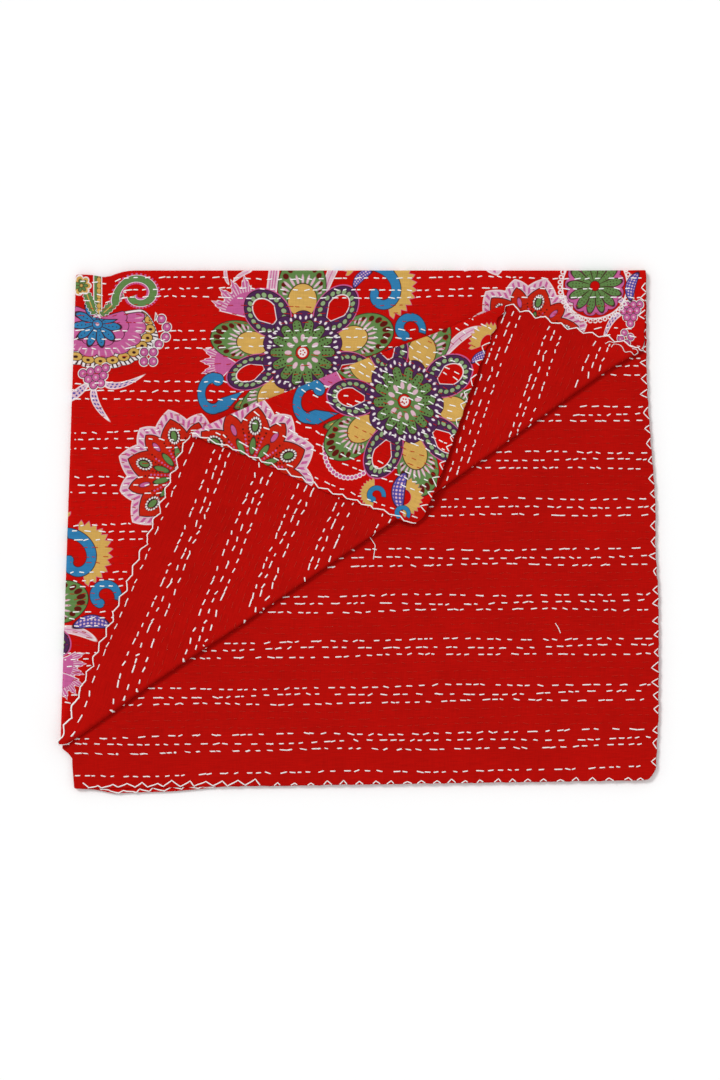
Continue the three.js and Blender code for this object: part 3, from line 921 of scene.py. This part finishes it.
# Lined stalk: a pale stalk with pink lines down its length.
stalk = PrintBlock("lined_stalk")
outline = both(abs(stalk.y) - 6.0, abs(stalk.x) - 24)
stalk.lined(outline, pale_pink, resist_white, 1.0)
stalk.ink(both(outline + 0.8, abs(in_steps(stalk.y, 3.4)) - 0.7), pink)
lined_stalk = stalk.done()

# Striped leaf: a long smooth green leaf with gold stripes.
striped = PrintBlock("striped_leaf")
outline = oval(striped.x, striped.y, 0, 29, 7.5)
striped.lined(outline, leaf_green, line=0.8)
striped.ink(both(abs(in_steps(striped.y - 2.4, 4.8)) - 1.1, outline + 1.4), gold)
striped_leaf = striped.done()

# Rosette: a small gold rosette with green lobes.
rosette = PrintBlock("rosette")
lobe_along, lobe_across = rosette.all_round(7)
lobes = either(oval(lobe_along, lobe_across, 8, 4.2, 3.6), from_middle(rosette.x, rosette.y) - 8)
rosette.lined(lobes, gold, resist_white, 1.3)
rosette.lined(oval(lobe_along, lobe_across, 5.4, 2.8, 1.8), leaf_green, line=0.6)
small_rosette = rosette.done()

# Bead chain: an arc of pink beads with white rims.
chain = PrintBlock("bead_chain")
bead_along, bead_across = chain.all_round(40)
beads = both(from_middle(bead_along - 34, bead_across) - 2.2, chain.x * 0.45 + chain.y * 0.89 - 5)
chain.lined(beads, pink, resist_white, 1.1)
bead_chain = chain.done()

# Dotted leaf: a bent violet leaf with rows of pale dots, fat in the middle.
dotted = PrintBlock("dotted_leaf")
bent = dotted.y + dotted.x * dotted.x * 0.012
dotted.lined(oval(dotted.x, bent, 0, 20, 7.2), violet)
spot = from_middle(in_steps(dotted.x, 4.2), in_steps(bent - 2.1, 4.2)) - 1.25
dotted.ink(both(spot, oval(dotted.x, bent, 0, 18.5, 6.2)), pale_pink)
dotted_leaf = dotted.done()

# Sprig: a bunch of nine pink berries in three rows, with three dotted tails, each bent its own way.
sprig = PrintBlock("sprig")
for degrees, bend in ((-32, 0.024), (220, 0.0), (262, 0.018)):
    tail_x, tail_y = turned(sprig.x, sprig.y, -degrees)
    bent = tail_y - (tail_x - 14) * (tail_x - 14) * bend
    tail = oval(tail_x, bent, 32, 17, 4.4)
    sprig.lined(tail, pale_pink, resist_white)
    sprig.ink(both(tail + 0.6, from_middle(in_steps(tail_x, 4.8), abs(bent) - 2) - 1.35), violet)
row_x, row_y = turned(sprig.x, sprig.y, -14)
berries = None
for row_number, berries_in_row in enumerate((4, 3, 2)):
    for number in range(berries_in_row):
        berry_x = row_x - 10.2 * (number - (berries_in_row - 1) / 2)
        berry = from_middle(berry_x, row_y - 8.8 * (1 - row_number)) - 4.8
        berries = either(berries, berry) if berries else berry
sprig.ink(berries - 2.0, resist_white)
sprig.lined(berries, pink, line=0.9)
sprig.ink(berries + 3.2, pale_pink)
berry_sprig = sprig.done()


def draw_berries(name, count, away_from_middle, open_from):
    """Berries evenly round a circle, on one side of a line, each with a pale shine and a white surround."""
    berry = PrintBlock(name)
    berry_along, berry_across = berry.all_round(count, 0.5)
    open_side = open_from - berry.x
    berries = both(from_middle(berry_along - away_from_middle, berry_across) - 4.8, open_side)
    berry.ink(berries - 2.0, resist_white)
    berry.lined(berries, pink, line=0.9)
    shine = from_middle(berry_along - away_from_middle - 0.8, berry_across - 0.8) - 1.6
    berry.ink(both(shine, open_side + 2), pale_pink)
    return berry.done()


# Berries: four on an arc, and four in a cluster.
berry_arc = draw_berries("berry_arc", 9, 18.5, 2.0)
berry_cluster = draw_berries("berry_cluster", 4, 8.4, -20.0)

# Leaf: a green blade with a toothed edge and a gold vein.
blade = PrintBlock("blade")
teeth = abs(in_steps(blade.x, 7.0)) * 0.7
edge = oval(blade.x, blade.y, 0, 23, 7.5) + teeth - 1.2
blade.lined(edge, leaf_green, resist_white, 1.4)
blade.lined(edge, leaf_green, line=0.5)
blade.ink(both(abs(blade.y) - 0.9, abs(blade.x) - 17), gold)
green_blade = blade.done()

# Curl: a green tendril that winds in on itself, with a pink fringe.
tendril = PrintBlock("tendril")
wide_x = tendril.x * 0.8
share = tendril.y.worked("ARCTAN2", wide_x).worked("MULTIPLY_ADD", -1 / (2 * math.pi), 200 / 360)
share = share.worked("FRACT")
ribbon = abs(from_middle(wide_x, tendril.y) - share.worked("MULTIPLY_ADD", -21, 31)) - 4.6
_, tuft_across = round_about(wide_x, tendril.y, 34)
tendril.ink(both(ribbon - 4.2, abs(tuft_across) - 1.3), pink)
tendril.lined(ribbon, leaf_green, resist_white, 1.4)
tendril.lined(ribbon, leaf_green, line=0.5)
green_tendril = tendril.done()

# Selvedge: the far end of the cloth, left in its red ground.
selvedge_from = 652
selvedge = PrintBlock("selvedge")
selvedge.ink(selvedge_from - selvedge.y, ground_red)
red_selvedge = selvedge.done()

# The repeat: the block print comes again along two slanting steps, found as whole steps from a motif's own
# spot. The place on the motif is then turned and sized.
step_right = (376.0, -353.0)
step_left = (-393.0, -340.0)
repeat, entry = open_group(
    "repeat",
    {"Flat": "Vector", "Spot X": "Float", "Spot Y": "Float", "Turn": "Float", "Size": "Float"},
    {"Place": "Vector"},
)
split = place_node(repeat, "SeparateXYZ", {0: entry["Flat"]})
off_x = Reading(repeat, split.outputs["X"]) * 1000.0 - Reading(repeat, entry["Spot X"])
off_y = Reading(repeat, split.outputs["Y"]) * 1000.0 - Reading(repeat, entry["Spot Y"])
span = step_right[0] * step_left[1] - step_left[0] * step_right[1]
rights = (off_x * (step_left[1] / span) - off_y * (step_left[0] / span)).worked("ROUND")
lefts = (off_y * (step_right[0] / span) - off_x * (step_right[1] / span)).worked("ROUND")
off_x = off_x - rights * step_right[0] - lefts * step_left[0]
off_y = off_y - rights * step_right[1] - lefts * step_left[1]
meet = place_node(repeat, "CombineXYZ", {"X": off_x, "Y": off_y})
back = Reading(repeat, entry["Turn"]) * -1.0
swing = place_node(
    repeat, "VectorRotate", {"Vector": meet.outputs[0], "Angle": back}, rotation_type="Z_AXIS"
)
inverse = place_node(repeat, "Math", {0: 1.0, 1: entry["Size"]}, operation="DIVIDE")
shrink = place_node(
    repeat, "VectorMath", {0: swing.outputs[0], "Scale": inverse.outputs[0]}, operation="SCALE"
)
close_group(repeat, {"Place": shrink.outputs[0]})

# Cotton: slubs along and across, a slow mottle, and the height of the weave, shared by both cloths.
slub_close = 900
slub_long = 45
cotton, cotton_entry = open_group(
    "cotton", {"Flat": "Vector", "Dye": "Color"}, {"Colour": "Color", "Height": "Float"}
)


def cloth_noise(across_scale, down_scale, detail):
    """Noise on the flat cloth, stretched by its own scale each way, from minus a half to plus a half."""
    scales = (across_scale, down_scale, 0)
    stretch = place_node(cotton, "VectorMath", {0: cotton_entry["Flat"], 1: scales}, operation="MULTIPLY")
    spread = {"Vector": stretch.outputs[0], "Scale": 1, "Detail": detail}
    noise = place_node(cotton, "TexNoise", spread, noise_dimensions="2D")
    return Reading(cotton, noise.outputs["Fac"]) - 0.5


weft_slub = cloth_noise(slub_long, slub_close, 1)
warp_slub = cloth_noise(slub_close, slub_long, 1)
mottle = cloth_noise(14, 14, 3)
shade = weft_slub * 0.34 + warp_slub * 0.2 + mottle * 0.22 + 1.0
tint = place_node(cotton, "VectorMath", {0: cotton_entry["Dye"], "Scale": shade}, operation="SCALE")
pucker = cloth_noise(110, 150, 2)
height = weft_slub * 0.5 + warp_slub * 0.4 + pucker * 1.6
close_group(cotton, {"Colour": tint.outputs[0], "Height": height.socket})
cotton_finish = {
    "group": cotton, "uv_map": "flat_cut", "roughness": 0.88, "shine": 0.04,
    "strength": 0.6, "depth": 0.0004,
}


def dye_material(name, finish, dye=None):
    """A matt material on a UV map of its piece: one dye, or a print to be linked in, shaded and bumped by the
    finish's group."""
    material = bpy.data.materials.new(name)
    material.use_nodes = True
    tree = material.node_tree
    shader = tree.nodes["Principled BSDF"]
    shader.inputs["Roughness"].default_value = finish["roughness"]
    shader.inputs["Specular IOR Level"].default_value = finish["shine"]
    flat = place_node(tree, "UVMap", {}, uv_map=finish["uv_map"]).outputs[0]
    dyed = place_node(tree, "Group", {0: flat}, node_tree=finish["group"])
    if dye:
        dyed.inputs["Dye"].default_value = dye
    relief = {"Strength": finish["strength"], "Distance": finish["depth"], "Height": dyed.outputs["Height"]}
    bump = place_node(tree, "Bump", relief)
    tree.links.new(bump.outputs[0], shader.inputs["Normal"])
    tree.links.new(dyed.outputs["Colour"], shader.inputs["Base Color"])
    return material, flat, dyed


# Where each motif is printed in one repeat: flat place in millimetres, turn in degrees, and size.
printed_motifs = [
    (feather_leaf, 231, -60, 128, 1.0),
    (feather_leaf, 214, -118, 187, 0.85),
    (feather_leaf, 381, -161, -10, 0.75),
    (feather_leaf, 387, -170, -62, 0.7),
    (lined_stalk, 260, -20, 84, 1.0),
    (pale_blade, 340, 0, 62, 1.0),
    (pale_blade, 408, -119, -15, 0.9),
    (pale_blade, 198, -6, 100, 0.4),
    (pale_blade, 219, -5, 30, 0.45),
    (bead_chain, 256, -189, 0, 1.0),
    (striped_leaf, 240, -162, 28, 1.0),
    (large_flower, 302, -105, 0, 1.0),
    (lotus_flower, 146, -262, 43, 1.0),
    (lotus_flower, 598, -88, 12, 0.95),
    (gold_stalk, 29, -26, 92, 1.0),
    (fan_flower, 30, -66, -8, 1.0),
    (green_blade, 19, -36, 112, 0.75),
    (green_blade, 48, -40, 42, 0.8),
    (small_rosette, 7, -14, 0, 1.0),
    (green_tendril, 83, -30, 0, 0.8),
    (berry_sprig, 736, -53, -131, 0.9),
    (daisy_flower, 688, -20, 10, 1.0),
    (flame_leaf, 409, -21, 8, 0.95),
    (large_crook, 407, -32, -12, 1.0),
    (small_crook, 442, -75, 56, 0.95),
    (hook_leaf, 185, -157, 0, 1.0),
    (dotted_leaf, 377, -8, 42, 0.75),
    (dotted_leaf, 427, -107, 0, 1.1),
    (dotted_leaf, 736, -20, 75, 0.9),
    (berry_sprig, 30, -136, 0, 1.0),
    (berry_arc, 104, -77, -5, 1.0),
    (berry_cluster, 99, -110, 0, 1.0),
    (berry_cluster, 731, -88, 60, 0.8),
    (flame_leaf, 380, 10, 135, 0.62),
    (flame_leaf, 345, -220, 20, 0.6),
    (dotted_leaf, 336, -214, 105, 1.15),
    (flame_leaf, 308, -228, 200, 0.45),
    (small_crook, 310, -230, 80, 0.58),
    (small_crook, 352, -240, 60, 0.5),
]
printed_cotton, flat_map, woven = dye_material("printed_cotton", cotton_finish)
print_tree = printed_cotton.node_tree
print_colour = ground_red
for motif, spot_x, spot_y, turn, size in printed_motifs:
    spot = {"Flat": flat_map, "Spot X": spot_x, "Spot Y": spot_y, "Turn": math.radians(turn), "Size": size}
    place = place_node(print_tree, "Group", spot, node_tree=repeat).outputs["Place"]
    block = place_node(print_tree, "Group", {"Place": place, "Cloth": print_colour}, node_tree=motif)
    print_colour = block.outputs["Print"]
in_millimetres = place_node(print_tree, "VectorMath", {0: flat_map, "Scale": 1000}, operation="SCALE")
far_end = {"Place": in_millimetres.outputs[0], "Cloth": print_colour}
end_strip = place_node(print_tree, "Group", far_end, node_tree=red_selvedge)
print_tree.links.new(end_strip.outputs["Print"], woven.inputs["Dye"])
printed_cloth.data.materials.append(printed_cotton)
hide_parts("printed_face")
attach(printed_cloth, "root")

# Plain back: a rectangle of plain red cotton cut to the size of the face. Its hem is turned in with the
# face's, and the same rows of running stitch hold the two together, so it lies a hair under the face.
plain_cloth = sew_panel("plain_cloth", -cloth_gap / 2, round_hem(from_hem, -quilt_half, -hem_thin), False)
plain_cotton, _, _ = dye_material("plain_cotton", cotton_finish, linear("aa0a05"))
plain_cloth.data.materials.append(plain_cotton)
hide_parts("plain_back")
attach(plain_cloth, "root")

# White running stitch: rows of soft cotton thread that hold the two cloths together, three close rows and
# then a wider space, with one more row just inside each end hem. Each stitch is drawn down at both ends.
groups_above = np.array([52, 108, 158, 208, 269, 328, 386, 448, 515, 578]) - top_length
groups_below = under_length - np.array([598, 537, 476, 416, 356, 291, 233, 176, 116, 56])
group_lines = np.concatenate([[-611], groups_above, groups_below, [666]])
rows_a_group = 6
row_numbers = np.arange(rows_a_group - 1, rows_a_group * (len(group_lines) - 2) + 2)
row_lines = np.interp(row_numbers, rows_a_group * np.arange(len(group_lines)), group_lines)
is_white = np.isin(row_numbers % rows_a_group, [rows_a_group - 1, 0, 1])
hem_rows = [12 - top_length, under_length - 17]
white_lines = np.concatenate([row_lines[is_white], hem_rows])
red_lines = row_lines[~is_white]
stitch_step = 13.6
spare_steps = 1.2
stitch_uneven = 0.19
stitch_limits = (0.55, 1.6)
shown_share = 0.46
shown_uneven = 0.06
shown_extra = 0.4
stitch_slope = 0.5
stitch_bends = np.array([0.0, 0.14, 0.86, 1.0])
stitch_lifts = np.array([-0.35, 0.28, 0.28, -0.35])
row_sways = [(1.3, 67), (0.7, 29)]
clear_sides = 5
clear_ends = 4
white_radius = 0.86
thread_sides = 5
thread_flatness = 0.62
pressed_share = 0.3
clear_of_edge = 0.003
fold_clearance = 4
flap_corners = np.stack(
    [first_rows[-1][:, 0], first_rows[-1][:, -1], second_rows[0][:, -1], second_rows[0][:, 0]]
)
tip_corners = np.stack([second_rows[-1][:, 0], tip_row[:, 0], second_rows[-1][:, -1]])


def lies_under(corners, x, y, lift):
    """Whether a laid point is inside the outline of laid flat corners: on the same side of every edge."""
    outline = lay_quilt(corners[:, 0], corners[:, 1], np.zeros(len(corners)))
    point = lay_quilt(x, y, lift)
    run = np.roll(outline, -1, axis=0) - outline
    inside = np.ones(x.shape, bool)
    turn = np.sign(run[0, 0] * run[1, 1] - run[0, 1] * run[1, 0])
    for corner, way in zip(outline, run):
        side = way[0] * (point[..., 1] - corner[1]) - way[1] * (point[..., 0] - corner[0])
        inside &= turn * side > clear_of_edge * np.hypot(way[0], way[1])
    return inside


def shows(x, y, printed_side):
    """Whether thread on one side of the cloth can be seen: on parts that lie uppermost, or on the floor."""
    lift = np.full(x.shape, quilt_half if printed_side else -quilt_half)
    past = past_line(first_turn, x, y)
    upper = (x > 0) & (y < 0)
    on_tip = upper & (past > first_bend) & (past_second_turn(x, y) > second_bend / 2)
    under_tip = lies_under(tip_corners, x, y, lift)
    if printed_side:
        on_quarter = upper & (past < 2) & ~lies_under(flap_corners, x, y, lift) & ~under_tip
        return on_tip | on_quarter | ((x < 0) & (y < 0))
    on_flap = upper & (past > first_bend / 2) & (past_second_turn(x, y) < second_bend / 2) & ~under_tip
    below = (x > 0) & (y > 0) & (past_line(first_turn, x, -y) > -fold_clearance) & ~under_tip
    return on_flap | below


def run_rows(lines, seed):
    """Running stitch along each line: steps of uneven length added up, the thread above for about half of
    each step and below for the rest, wandering off its line by two slow sines."""
    chance = np.random.default_rng(seed)
    count = int(2 * half_width / stitch_step * spare_steps)
    steps = stitch_step * chance.normal(1, stitch_uneven, (len(lines), count)).clip(*stitch_limits)
    start = np.cumsum(steps, axis=1) - half_width - stitch_step * chance.random((len(lines), 1))
    share = chance.normal(shown_share, shown_uneven, steps.shape)
    slopes = chance.normal(0, stitch_slope, (2, *steps.shape))
    starts = chance.uniform(0, 2 * math.pi, (2, len(lines), 1))
    runs = []
    for printed_side, slope in zip((True, False), slopes):
        first = start if printed_side else start + steps * 0.5
        length = steps * share + shown_extra
        along = first[..., None] + length[..., None] * stitch_bends
        down = lines[:, None, None] + slope[..., None] * (2 * stitch_bends - 1)
        for (sway, sway_length), sway_start in zip(row_sways, starts):
            down = down + sway * np.sin(along / sway_length + sway_start[..., None])
        side = 1 if printed_side else -1
        lift = np.broadcast_to(side * (quilt_half + stitch_lifts), along.shape)
        paths = np.stack([along, down, lift], axis=-1).reshape(-1, len(stitch_bends), 3)
        middle = paths.mean(axis=1)
        edge = np.where(middle[:, 1] > 0, under_length, top_length)
        kept = np.abs(paths[:, :, 0]).max(axis=1) < half_width - clear_sides
        kept &= np.abs(middle[:, 1]) < edge - clear_ends
        kept &= shows(middle[:, 0], middle[:, 1], printed_side)
        runs.append(paths[kept])
    return np.concatenate(runs)


def lay_threads(name, paths, radius):
    """Threads as tubes: a ring of points round each place of each flat path, level across the path and
    lifted, then laid with the quilt and pressed flat on the floor. Strips join the rings, with closed ends."""
    threads, places, _ = paths.shape
    way = np.gradient(paths[:, :, :2], axis=1)
    way /= np.linalg.norm(way, axis=-1, keepdims=True)
    angle = 2 * math.pi * np.arange(thread_sides) / thread_sides
    out = radius * np.cos(angle)
    ring_x = paths[:, :, 0, None] - way[:, :, 1, None] * out
    ring_y = paths[:, :, 1, None] + way[:, :, 0, None] * out
    ring_lift = paths[:, :, 2, None] + thread_flatness * radius * np.sin(angle)
    points = lay_quilt(ring_x, ring_y, ring_lift)
    points[..., 2] = np.where(points[..., 2] < 0, pressed_share * points[..., 2], points[..., 2])
    number = np.arange(threads * places * thread_sides).reshape(threads, places, thread_sides)
    after = np.roll(number, -1, axis=2)
    strips = [number[:, :-1], after[:, :-1], after[:, 1:], number[:, 1:]]
    strips = np.stack(strips, axis=-1).reshape(-1, 4)
    ends = np.concatenate([number[:, 0, ::-1], number[:, -1]])
    corners = np.concatenate([strips.ravel(), ends.ravel()])
    starts = np.concatenate([4 * np.arange(len(strips)), strips.size + thread_sides * np.arange(len(ends))])
    steps = np.linalg.norm(np.diff(paths, axis=1, prepend=paths[:, :1]), axis=-1).cumsum(axis=1) / 1000
    strand = np.stack(np.broadcast_arrays(steps[:, :, None], np.arange(thread_sides) / thread_sides), axis=-1)
    piece = make_piece(name, points, corners, starts, {"strand": strand.reshape(-1, 2)[corners]})
    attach(piece, "root")
    return piece


# Thread: plies that wind round the strand, shaded and raised as a sine of the place along it and round it.
ply_turns_a_metre = 700.0
ply_shade = 0.06
thread_twist, entry = open_group(
    "thread_twist", {"Strand": "Vector", "Dye": "Color"}, {"Colour": "Color", "Height": "Float"}
)
split = place_node(thread_twist, "SeparateXYZ", {0: entry["Strand"]})
ply_turns = Reading(thread_twist, split.outputs["X"]) * ply_turns_a_metre
ply_turns = ply_turns + Reading(thread_twist, split.outputs["Y"])
ply = (ply_turns * (4 * math.pi)).worked("SINE")
lit = ply * ply_shade + (1 - ply_shade)
tint = place_node(thread_twist, "VectorMath", {0: entry["Dye"], "Scale": lit}, operation="SCALE")
close_group(thread_twist, {"Colour": tint.outputs[0], "Height": ply.socket})
thread_finish = {
    "group": thread_twist, "uv_map": "strand", "roughness": 0.75, "shine": 0.15,
    "strength": 0.5, "depth": 0.0002,
}
white_thread, _, _ = dye_material("white_thread", thread_finish, linear("fcfaf8"))
white_stitches = lay_threads("white_stitches", run_rows(white_lines, 5), white_radius)
white_stitches.data.materials.append(white_thread)

# Red running stitch: the rows between the white ones, in red thread that sinks into the red cloth and shows
# where it crosses the pale inks of the print.
red_radius = 0.45
red_thread, _, _ = dye_material("red_thread", thread_finish, linear("c41c0e"))
red_stitches = lay_threads("red_stitches", run_rows(red_lines, 8), red_radius)
red_stitches.data.materials.append(red_thread)

# Overcast hem: white thread sewn over the edge all round. It runs along the edge where it draws deep bites,
# zigzags on the flatter end hems, and stands as separate teeth on the flatter side hems.
edge_thread = 0.95
hem_thread = 0.82
thread_rise = 0.25
reach_uneven = 0.2
edge_run = {"parts": 8, "sway": 0.6, "smoothing": np.full(5, 0.45), "least": 0.3, "rise": 0.1}
zigzag_run = {"parts": 4, "slant": 2.0, "uneven": 1.5, "inset": 0.5, "rise": 0.3}
tooth = {"space": 12, "uneven": 2.0, "arm": 3.6, "spread": 0.3, "arm_uneven": 0.24, "inset": 0.4, "rise": 0.15}
tooth_steps = np.linspace(-1, 1, 9)


def hem_places(runs_across, edge, side, along, inward, rise):
    """Flat places on a hem from how far along it and in from it they lie; the lift rounds up with the hem,
    as a quarter circle, and the thread rises off it besides."""
    lift = round_hem(inward, quilt_half, hem_thin) + thread_rise + rise
    across = edge - np.sign(edge) * inward
    flat = (along, across) if runs_across else (across, along)
    return np.stack(np.broadcast_arrays(*flat, side * lift), axis=-1)


def along_edge(runs_across, edge, start, end, side, reach, seed):
    """A thread along the edge itself, which goes in and out with the bites and sways a little by chance."""
    chance = np.random.default_rng(seed)
    along, _ = bites_along(start, end, edge_run["parts"])
    sway = chance.normal(0, edge_run["sway"], len(along))
    sway = np.convolve(sway, edge_run["smoothing"], mode="same")
    inward = np.maximum(reach + sway, edge_run["least"])
    return hem_places(runs_across, edge, side, along, inward, edge_run["rise"])[None]


def zigzag(runs_across, edge, start, end, side, reach, seed):
    """A zigzag: on the edge at whole bites, at its inner points about halfway, straight between them."""
    chance = np.random.default_rng(seed)
    along, numbers = bites_along(start, end, 2)
    at_edge = numbers == np.round(numbers)
    count = len(along)
    slant = np.where(at_edge, 0, zigzag_run["slant"])
    along = along + slant + chance.normal(0, zigzag_run["uneven"], count)
    deep = reach + chance.normal(0, reach_uneven * reach, count)
    inward = np.where(at_edge, zigzag_run["inset"], deep)
    places = np.linspace(0, count - 1, zigzag_run["parts"] * (count - 1) + 1)
    corners = np.arange(count)
    rise = zigzag_run["rise"] * np.sqrt(np.abs(np.sin(math.pi * places)))
    run = np.interp(places, corners, along)
    return hem_places(runs_across, edge, side, run, np.interp(places, corners, inward), rise)[None]


def teeth(runs_across, edge, start, end, side, reach, seed):
    """Separate teeth: each runs from the edge in to a point and back out to the edge, all a little uneven."""
    chance = np.random.default_rng(seed)
    middle, _ = bites_along(start + tooth["space"], end - tooth["space"], 1)
    point = middle + chance.normal(0, tooth["uneven"], len(middle))
    deep = reach + chance.normal(0, reach_uneven * reach, len(middle))
    arm_length = tooth["arm"] + tooth["spread"] * reach
    arms = chance.normal(arm_length, tooth["arm_uneven"] * reach, (2, len(middle)))
    arm = np.where(tooth_steps < 0, arms[0][:, None], arms[1][:, None])
    inward = tooth["inset"] + deep[:, None] * (1 - np.abs(tooth_steps))
    along = point[:, None] + arm * tooth_steps
    return hem_places(runs_across, edge, side, along, inward, tooth["rise"])


hems = [
    (teeth, False, half_width, -90, -4, 1, 6.5, 21),
    (teeth, False, half_width, -top_length + 8, -330, 1, 6.5, 22),
    (along_edge, False, half_width, -340, -96, -1, 0.9, 23),
    (along_edge, True, -top_length, 10, 440, -1, 0.9, 24),
    (zigzag, True, -top_length, 425, half_width - 8, 1, 4.6, 25),
    (teeth, False, half_width, 4, under_length - 8, -1, 6, 26),
    (zigzag, True, under_length, 6, 250, -1, 7.5, 27),
    (teeth, True, under_length, 240, half_width - 8, -1, 3.2, 29),
    (zigzag, True, under_length, -300, -6, 1, 5, 28),
]
for number, (sew, *hem) in enumerate(hems):
    thickness = edge_thread if sew is along_edge else hem_thread
    overcast = lay_threads(f"hem_thread_{number + 1}", sew(*hem), thickness)
    overcast.data.materials.append(white_thread)

# Loose ends: short ends of white thread left lying on the plain side, and a long one that has sprung
# out in loops at the slack end of the turned-back corner.
end_routes = [
    [[388, 341], [396, 353], [393.5, 371]],
    [[624.8, 455.6], [628.6, 461.6], [631.3, 468.5]],
    [[742, -141], [753, -140], [748, -128], [741, -122], [748, -117], [743, -110], [752, -107], [753, -116]],
    [[744, -150], [751, -146], [755, -139]],
]
route_parts = 25
end_radius = 0.55


def wind_end(route):
    """A thread through a few flat places, rounded: straight runs between them, each place averaged with its
    neighbours."""
    route = np.array(route, float)
    share = np.linspace(0, len(route) - 1, route_parts)
    run = np.stack([np.interp(share, np.arange(len(route)), route[:, axis]) for axis in (0, 1)], axis=1)
    run[1:-1] = (run[:-2] + run[1:-1] + run[2:]) / 3
    return np.column_stack([run, np.full(route_parts, -quilt_half - end_radius)])


loose_ends = lay_threads("loose_ends", np.stack([wind_end(route) for route in end_routes]), end_radius)
loose_ends.data.materials.append(white_thread)

# Studio: a plain pale floor, a soft key light from the upper left and an even sky, with the camera straight
# above, far enough off that the layers hardly differ in scale.
floor_half = 4.0
floor_level = -0.0004
floor_mesh = bpy.data.meshes.new("floor")
floor_mesh.from_pydata(
    [(-floor_half, -floor_half, floor_level), (floor_half, -floor_half, floor_level),
     (floor_half, floor_half, floor_level), (-floor_half, floor_half, floor_level)],
    [],
    [(0, 1, 2, 3)],
)
floor = bpy.data.objects.new("floor", floor_mesh)
bpy.context.collection.objects.link(floor)
floor_paint = bpy.data.materials.new("floor_paint")
floor_paint.use_nodes = True
floor_shader = floor_paint.node_tree.nodes["Principled BSDF"]
floor_shader.inputs["Base Color"].default_value = (0.94, 0.94, 0.94, 1)
floor_shader.inputs["Roughness"].default_value = 0.9
floor_mesh.materials.append(floor_paint)

sky = bpy.data.worlds.new("even_sky")
sky.use_nodes = True
sky_light = sky.node_tree.nodes["Background"]
sky_light.inputs["Color"].default_value = (1, 1, 1, 1)
sky_light.inputs["Strength"].default_value = 0.72
bpy.context.scene.world = sky
key_lamp = bpy.data.lights.new("key_lamp", "SUN")
key_lamp.angle = math.radians(16)
key_lamp.energy = 1.46
key = bpy.data.objects.new("key_lamp", key_lamp)
key.rotation_euler = (math.radians(-27), math.radians(-30.6), 0)
bpy.context.collection.objects.link(key)

camera_over = (-0.0013, -0.0129)
camera_height = 5.0
pack_height = 0.008
frame_height = 1.388
sensor_width = 36
camera_lens = bpy.data.cameras.new("camera")
camera_lens.sensor_width = sensor_width
camera_lens.lens = sensor_width * camera_height / frame_height
camera_lens.clip_end = 20
camera = bpy.data.objects.new("camera", camera_lens)
camera.location = (*camera_over, camera_height + pack_height)
bpy.context.collection.objects.link(camera)
bpy.context.scene.camera = camera
bpy.context.scene.view_settings.view_transform = "Standard"
